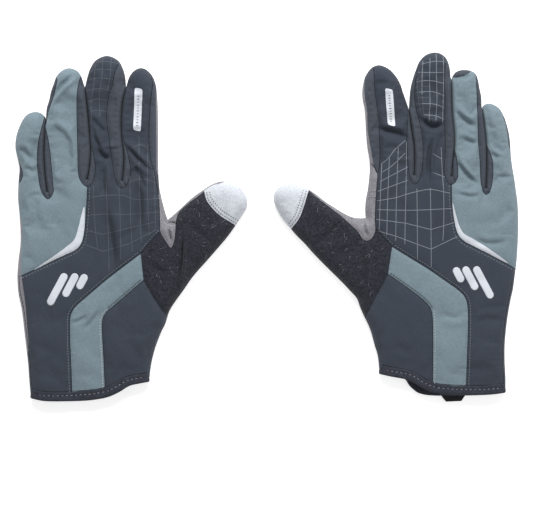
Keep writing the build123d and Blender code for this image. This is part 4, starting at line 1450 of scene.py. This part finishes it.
def ribbon(g, line, width, lift):
    """A thin line on the cloth that follows the surface, and stops where it runs off the edge."""
    side = left_of(line) * width / 2
    dive = -0.08  # its edges lie just under the surface
    runs = [[]]
    for (x, y), (sx, sy) in zip(line, side):
        row = []
        for k, height in ((1, dive), (0.8, lift), (-0.8, lift), (-1, dive)):
            hit = surface_z(g["top"], x + sx * k, y + sy * k)
            if hit is not None:
                row.append((x + sx * k, y + sy * k, hit[0] + height))
        if len(row) == 4:
            runs[-1].append(row)
        elif runs[-1]:
            runs.append([])
    vertices, faces = [], []
    for rows in runs:
        if len(rows) > 2:
            faces += tube_faces(len(vertices), len(rows), 4)
            vertices += [corner for row in rows for corner in row]
    return (vertices, faces) if faces else None


def line_parts(g, line, width, lift, digit, shown):
    """A line as (digit, ribbon) parts, cut where it stops showing and where it passes to another body."""
    start = 0
    for i in range(1, len(line) + 1):
        if i < len(line) and digit[i] == digit[start] and shown[i] == shown[start]:
            continue
        if shown[start] and i - start > 2:
            made = ribbon(g, line[start : i + 1], width, lift)
            if made:
                yield str(digit[start]), made
        start = i


def add_grid(g):
    """The reflective grid printed on the middle finger and the centre of the back."""
    lines = [smooth(p, LINE_STEP) for p in g["grid"]] + [resample(p, LINE_STEP) for p in g["grid_corners"]]
    print_lines(g, "grid_print", lines, g["grid_width"], g["grid_look"])
    worn = [smooth(p, LINE_STEP) for p in g["worn_grid"]]
    print_lines(g, "worn_grid", worn, width=0.36, look="faint_print")


def print_lines(g, label, lines, width, look):
    """Printed lines, where the cloth takes the print."""
    lift = 0.06
    parts = [part for line in lines for part in line_parts(g, line, width, lift, *region_at(g, line))]
    add_by_body(g, label, parts, look)


def add_marks(g):
    """The reflective bars on the back of the hand and the label on the index finger, both without words."""
    bars = [
        drape(g, pad_outline(*bar, width=5.5), step=0.8, lift=0.16, thickness=0.4)[:2] for bar in g["mark"]
    ]
    make_piece(g, "reflective_mark", *merge(bars), "film", node="reflective_mark")
    v, f, n = drape(g, rounded(g["label"]), step=0.8, lift=0.2, thickness=0.5)
    make_piece(g, "index_label", v, f, "film", "index", "index_label", n)
    corners = np.array(g["label"], float)
    low, high = (corners[2] + corners[3]) / 2, (corners[0] + corners[1]) / 2
    ticks = []
    for k in range(11):
        spot = tuple(low + (high - low) * (0.12 + 0.07 * k))
        angle, length = 0 if k % 3 else 6, 2.6 if k % 2 else 1.9
        tick = pad_outline(spot, angle, length, width=0.6)
        ticks.append(drape(g, tick, step=0.5, lift=0.32, thickness=0.2)[:2])
    make_piece(g, "label_ticks", *merge(ticks), "grey_thread", "index")


def add_pads(g):
    """Foam pads sewn under the palm, crowned towards the ground, with a stitched channel near the edge."""
    height, shoulder, channel_depth, channel_width = 0.95, 7, 0.42, 0.8
    parts, rows = [], []
    for pad in g["pads"]:
        outline, channel = pad_outline(*pad), pad_outline(*pad, margin=PAD_CHANNEL)
        plan, tris, _ = triangulate(outline, [channel])
        d = np.abs(nearest(plan, close(outline))[0])
        palm = bottom_height(g, plan)
        crown = height * quarter(d / shoulder)
        crown = crown - channel_depth * np.exp(-(((d - PAD_CHANNEL) / channel_width) ** 2))
        crown += 0.12 * wave(plan, 9, 4.4)
        under = np.column_stack([plan, np.maximum(palm - 0.12 - crown, 0.03)])
        above = np.column_stack([plan, palm + 0.35])
        n = len(plan)
        faces = [tuple(t[::-1]) for t in tris] + [tuple(t + n) for t in tris]
        faces += [(a, b, b + n, a + n) for a, b in open_edges(tris)]
        parts.append((np.vstack([under, above]), faces))
        rows.append(stitch_row(g, close(channel), tree=tree_of(under, tris[:, ::-1]), below=True, lift=0.1))
    piece = make_piece(g, "palm_pads", *merge(parts), "pad", node="palm_pads")
    add_stitches(g, "pad_stitches", rows, "grey_thread")


def add_grips(g):
    """Silicone bars printed under the tips of the first two fingers."""
    bars, from_tip, pitch, slant = 5, 9, 4.2, 0.4
    for digit in ("index", "middle"):
        tip = np.array(g["tips"][digit])
        x, top = tip[tip[:, 1].argmax()]
        parts = []
        for k in range(bars):
            centre = (x - g["sign"] * slant * k, top - from_tip - pitch * k)
            bar = pad_outline(centre, angle=0, length=9.5, width=1.7)
            parts.append(drape(g, bar, step=0.6, lift=0.28, thickness=0.5, below=True)[:2])
        make_piece(g, f"{digit}_grip", *merge(parts), "grip", digit)


def add_binding(g):
    """Knitted tape folded over the cuff's edge, all the way round the mouth."""
    hem = resample(g["hem_curve"], 0.9)
    up = left_of(hem)
    up *= np.sign(up[:, 1])[:, None]

    def edge_path(height, shift, drop):
        low, high = hem + up * 0.5, hem + up * 4.5
        fall = palm_drop(g, low) if drop else np.zeros(len(low))
        centre = np.column_stack([low[:, 0], low[:, 1] - fall, height(g, low) + shift])
        rise = np.column_stack([high[:, 0], high[:, 1] - fall, height(g, high) + shift]) - centre
        return centre, rise / np.linalg.norm(rise, axis=1)[:, None]

    top, top_up = edge_path(top_height, -0.12, False)
    low, low_up = edge_path(bottom_height, 0.3, True)
    centre = np.vstack([top, low[::-1]])
    rise = np.vstack([top_up, low_up[::-1]])
    length = np.linalg.norm(np.roll(centre, -1, axis=0) - centre, axis=1)
    along = np.concatenate([[0], np.cumsum(length)])
    stations = np.arange(0, along[-1], 1.0)

    def even(values):
        """The values at even stations round the mouth, smoothed a little."""
        columns = [np.interp(stations, along, column) for column in close(values).T]
        values = np.stack(columns, 1)
        for _ in range(3):
            values = (np.roll(values, 1, 0) + 2 * values + np.roll(values, -1, 0)) / 4
        return values

    centre, rise = even(centre), even(rise)
    tangent = np.roll(centre, -1, 0) - np.roll(centre, 1, 0)
    out = np.cross(tangent, rise) * -g["sign"]
    out /= np.linalg.norm(out, axis=1)[:, None]
    rise -= tangent * (np.sum(rise * tangent, 1) / np.sum(tangent * tangent, 1))[:, None]
    rise /= np.linalg.norm(rise, axis=1)[:, None]

    # The tape's section, as (up the cuff, outwards), is swept round the mouth with small irregularities.
    profile = [
        (-0.95, -0.3), (-0.8, 0.45), (-0.2, 0.9), (0.9, 1.08), (2.0, 1.02), (2.7, 0.86), (3.2, 0.74),
        (3.7, 0.86), (4.4, 1.0), (5.2, 0.92), (5.75, 0.66), (5.95, 0.2), (5.6, -0.5), (5.4, -1.1),
        (4.6, -1.4), (2.4, -1.5), (0.2, -1.45), (-0.7, -1.0),
    ]
    vertices, faces = [], []
    size = len(profile)
    for i, (c, u, n) in enumerate(zip(centre, rise, out)):
        swell = noise.noise(Vector((i / 7, 0.5, 2))) * 0.35
        drift = noise.noise(Vector((i / 13, 4.5, 7))) * 0.7
        pull = 0.10 * math.sin(i * 2.9)
        for along_u, along_n in profile:
            grow = 1 + swell * (0.35 if along_n > 0 else 0)
            shift = drift * max(0, along_u) / HEM_WIDTH
            dip = pull if 2.5 < along_u < 4.0 and along_n > 0 else 0
            vertices.append(c + u * (along_u + shift) + n * (along_n * grow + dip))
        here, there = i * size, (i + 1) % len(centre) * size
        for k in range(size):
            q = (k + 1) % size
            face = (here + k, here + q, there + q, there + k)
            faces.append(face if g["sign"] < 0 else face[::-1])
    make_piece(g, "cuff_binding", vertices, faces, "tape", node="cuff_binding")

    row = hem[3:-3] + up[3:-3] * 3.7
    under = row - np.column_stack([np.zeros(len(row)), palm_drop(g, row)])
    between = resample(row, 0.5)[3:]
    on_tape = {"tree": tree_of(vertices, faces), "anywhere": True}
    add_stitches(g, "binding_stitches", [
        stitch_row(g, row, pitch=3.3, length=1.5, width=0.6, lift=0.2, **on_tape),
        stitch_row(g, under, below=True, lift=0.12, **on_tape),
    ], "binding_thread")
    add_stitches(g, "binding_gaps", [
        stitch_row(g, between, pitch=3.3, length=1.4, width=0.6, lift=0.1, **on_tape),
    ], "seam")


def add_lining(g):
    """Brushed lining that shows in the mouth of the cuff, with a blank care label laid on it."""
    parts = []
    reach, gap, thickness = 42, 0.2, 0.5
    for which in ("top_mesh", "bottom_mesh"):
        vertices, tris, labels, normals = g[which]
        d = hem_distance(g, vertices[:, :2], 50)
        chosen = (d[tris] < reach).all(axis=1) & np.array([str(x).startswith("hand") for x in labels])
        v, t, n = sub_mesh(vertices, tris, normals, chosen)
        v = v - n * (CLOTH + gap)
        if which == "top_mesh":
            v[:, 2] = np.maximum(v[:, 2], SEAM_HEIGHT + 0.1)
        else:
            v[:, 2] = np.minimum(v[:, 2], SEAM_HEIGHT - 0.1)
        parts.append(thicken(v, t, thickness, n))
    lining = make_piece(g, "cuff_lining", *merge(parts), "lining", node="cuff_lining")

    half_x, half_y, columns, rows = 12, 7, 21, 13
    across, up = np.linspace(-half_x, half_x, columns), np.linspace(-half_y, half_y, rows)
    base = np.array([(x, y) for y in up for x in across])
    edge = np.minimum(half_x - np.abs(base[:, 0]), half_y - np.abs(base[:, 1]))
    spots = base + g["care"]
    floor = bottom_height(g, spots) + CLOTH + 0.8
    lift = 0.9 * np.clip((base[:, 1] + 4) / 11, 0, 1) ** 2 + 0.15 * np.sin(base[:, 0] * 0.5)
    z = floor + np.maximum(lift, 0) + 0.12 * np.exp(-((edge / 0.7) ** 2))
    tris = []
    for r in range(rows - 1):
        for p in range(r * columns, (r + 1) * columns - 1):
            tris += [(p, p + 1, p + 1 + columns), (p, p + 1 + columns, p + columns)]
    v, f = thicken(np.column_stack([spots, z]), np.array(tris), 0.3)
    label = make_piece(g, "care_label", v, f, "label", node="care_label")


def add_tab(g):
    """A folded webbing tab for pulling the glove on."""
    (x0, y0), (x1, y1), far_width, near_width, level = g["tab"]
    far, near = Vector((x0, y0, 0)), Vector((x1, y1, 0))
    length = (near - far).length
    along = (near - far).normalized()
    across = Vector((-along.y, along.x, 0))
    # The section, as (along the tab, height): over the top, round the fold, back under, and up inside.
    fold = 0.81
    section = [(length, 1.62)]
    section += [(s, 1.62) for s in np.linspace(length - 1.5, 1.6, 7)]
    section += [(0.85 - 0.85 * math.cos(a), fold + fold * math.sin(a)) for a in np.linspace(1.2, -1.2, 7)]
    section += [(s, 0.0) for s in np.linspace(1.6, length, 8)]
    section += [(s, 0.72) for s in np.linspace(length, 1.9, 8)]
    section += [(1.35, fold)]
    section += [(s, 0.9) for s in np.linspace(1.9, length, 8)]
    vertices = []
    columns = 15
    for c in range(columns):
        t = 2 * c / (columns - 1) - 1
        for s, z in section:
            half = min(near_width, far_width + 1.45 * s) / 2
            rim = 0.1 * math.cos(t * math.pi / 2) ** 0.5 if abs(t) < 1 else 0.0
            bow = level + 0.05 * math.sin(s * 1.3 + 3 * t)
            squeeze = (z - fold) * (0.82 + 1.8 * rim) + fold
            p = far + along * s + across * (half * t)
            vertices.append((p.x, p.y, squeeze + bow))
    make_piece(g, "pull_tab", vertices, tube_faces(0, columns, len(section)), "webbing", node="pull_tab")


def add_lint(g):
    """A few stray fibres caught in the fleece of the thumb."""
    fibres = 26
    chance = np.random.default_rng(41 if g["sign"] > 0 else 42)
    low, high = g["digits"]["thumb"].min(axis=0), g["digits"]["thumb"].max(axis=0)
    found = []
    while len(found) < fibres:
        x, y = low - (30, 30) * np.array([g["sign"], 1]) + (high - low + 30) * chance.random(2)
        angle, length, bend = chance.random(3) * (6.28, 3.2, 1.2) + (0, 0.9, -0.6)
        t = np.linspace(-0.5, 0.5, 7)
        run = np.array([math.cos(angle), math.sin(angle)])
        line = (x, y) + np.outer(t * length, run) + np.outer(t * t * 3 * bend, (-run[1], run[0]))
        soft = inside(line, g["kinds"]["fleece"]) | inside(line, g["digits"]["thumb"])
        for kind in ("cap", "web", "band", "wrist"):
            soft &= ~inside(line, g["kinds"][kind])
        if soft.all() and inside(line, g["loop"]).all() and edge_distance(g, line).min() > 1.5:
            digit = region_at(g, line)[0]
            made = ribbon(g, line, width=0.16, lift=0.1)
            if made and len(set(digit)) == 1:
                found.append((str(digit[0]), made))
    add_by_body(g, "lint", found, "lint")


def add_seam_lines(g):
    """Dark lines along each edge of the strips, along the main seams, round the top of the cuff's
    binding and up the outer side: partly the sewn line, partly painted shade for the shadow in each seam's
    groove."""
    main = ("ulnar", "band_upper", "band_lower", "fleece", "web", "cap")
    width, lift, off_slit = 0.62, 0.03, 0.4
    outer_seam_top = -36
    outer = g["edge_curves"][0]
    lines = g["strip_seams"] + [g["curves"][name] for name in main]
    lines.append(offset_curve(resample(g["hem_curve"]), (HEM_WIDTH + 0.9) * g["sign"] * -1))
    lines.append(offset_curve(outer[outer[:, 1] < outer_seam_top], 1.8 * g["sign"] * -1))
    parts = []
    for line in (resample(curve, LINE_STEP) for curve in lines):
        within = inside(line, g["loop"]) & (slit_distance(g, line) > off_slit)
        parts += line_parts(g, line, width, lift, region_at(g, line)[0], within)
    add_by_body(g, "seam_shade_line", parts, "seam")


def add_seam_stitches(g):
    """Rows of topstitching along the seams of the back."""
    c, way = g["curves"], -g["sign"]
    turn = int(np.argmin(np.abs(c["band_lower"][:, 1] + 60)))
    slanted, upright = c["band_lower"][: turn + 1], c["band_lower"][turn:]
    # The slanted part of the band's lower seam gets dark thread and the upright part light thread: the same
    # thread, drawn dark on the slant as painted shade where it lies in the groove.
    add_stitches(g, "shaded_slant_stitches", [stitch_row(g, slanted, 1.7 * way, width=0.6)], "dark_thread")
    add_stitches(g, "band_stitches", [stitch_row(g, upright, 1.5 * way, width=0.55)], "light_thread")
    add_stitches(g, "web_stitches", [
        stitch_row(g, resample(row), pitch=1.6, length=1.0, width=0.5) for row in g["web_rows"]
    ], "light_thread")
    add_stitches(g, "edge_stitches", [
        stitch_row(g, resample(row), pitch=1.5, length=0.8, width=0.55) for row in g["edge_rows"]
    ], "dark_thread")
    add_stitches(g, "upper_stitches", [
        stitch_row(g, c["band_upper"], 1.7 * way, width=0.5),
        stitch_row(g, c["ulnar"][6:], -1.8 * way, pitch=2.4, width=0.5),
        stitch_row(g, c["fleece"], -1.5 * way, width=0.5),
    ], "grey_thread")
    add_stitches(g, "cap_stitches", [
        stitch_row(g, c["cap"], -offset * way, pitch=1.85, length=0.85, width=0.6) for offset in (1.8, 4.1)
    ], "dark_thread")


# ---------------------------------------------------------------- camera, light and floor


def build_stage():
    """A pale floor, a white room, two soft lamps and the camera straight above the pair."""
    half, level = 1.6, -0.0002
    corners = [(x * half, y * half, level) for x, y in ((-1, -1), (1, -1), (1, 1), (-1, 1))]
    floor = new_object("floor", corners, [(0, 1, 2, 3)])
    floor.data.materials.append(new_material("pale_floor", {
        "Base Color": (0.93, 0.93, 0.93, 1),
        "Roughness": 1.0,
        "Specular IOR Level": 0.0,
        "Emission Color": (1, 1, 1, 1),
        "Emission Strength": 0.57,
    })[0])

    world = bpy.data.worlds.new("studio")
    world.use_nodes = True
    background = world.node_tree.nodes["Background"]
    background.inputs["Color"].default_value = (1, 1, 1, 1)
    background.inputs["Strength"].default_value = 0.34
    bpy.context.scene.world = world

    for name, place, size, power in (
        ("key", (0.05, 1.5, 1.4), 0.8, 39.5),
        ("fill", (0.9, -0.5, 1.3), 1.2, 4.5),
    ):
        lamp = bpy.data.lights.new(name, "AREA")
        lamp.size = size
        lamp.energy = power
        light = bpy.data.objects.new(name, lamp)
        light.location = place
        light.rotation_euler = (-Vector(place)).to_track_quat("-Z", "Y").to_euler()
        bpy.context.scene.collection.objects.link(light)

    camera_data = bpy.data.cameras.new("camera")
    camera = bpy.data.objects.new("camera", camera_data)
    distance, gloves_level, view_width, sensor = 1.7, 0.008, 0.3926, 36
    camera.location = (0.0023, -0.019, distance)
    camera_data.sensor_width = sensor
    camera_data.lens = sensor * (distance - gloves_level) / view_width
    bpy.context.scene.collection.objects.link(camera)
    bpy.context.scene.camera = camera
    bpy.context.scene.view_settings.view_transform = "Standard"


build_stage()
for outlines in (LEFT, RIGHT):
    glove = lay_out(outlines)
    for build in (
        build_shell, add_binding, add_lining, add_tab, add_pads, add_grips, add_marks, add_grid,
        add_seam_lines, add_lint, add_seam_stitches,
    ):
        build(glove)
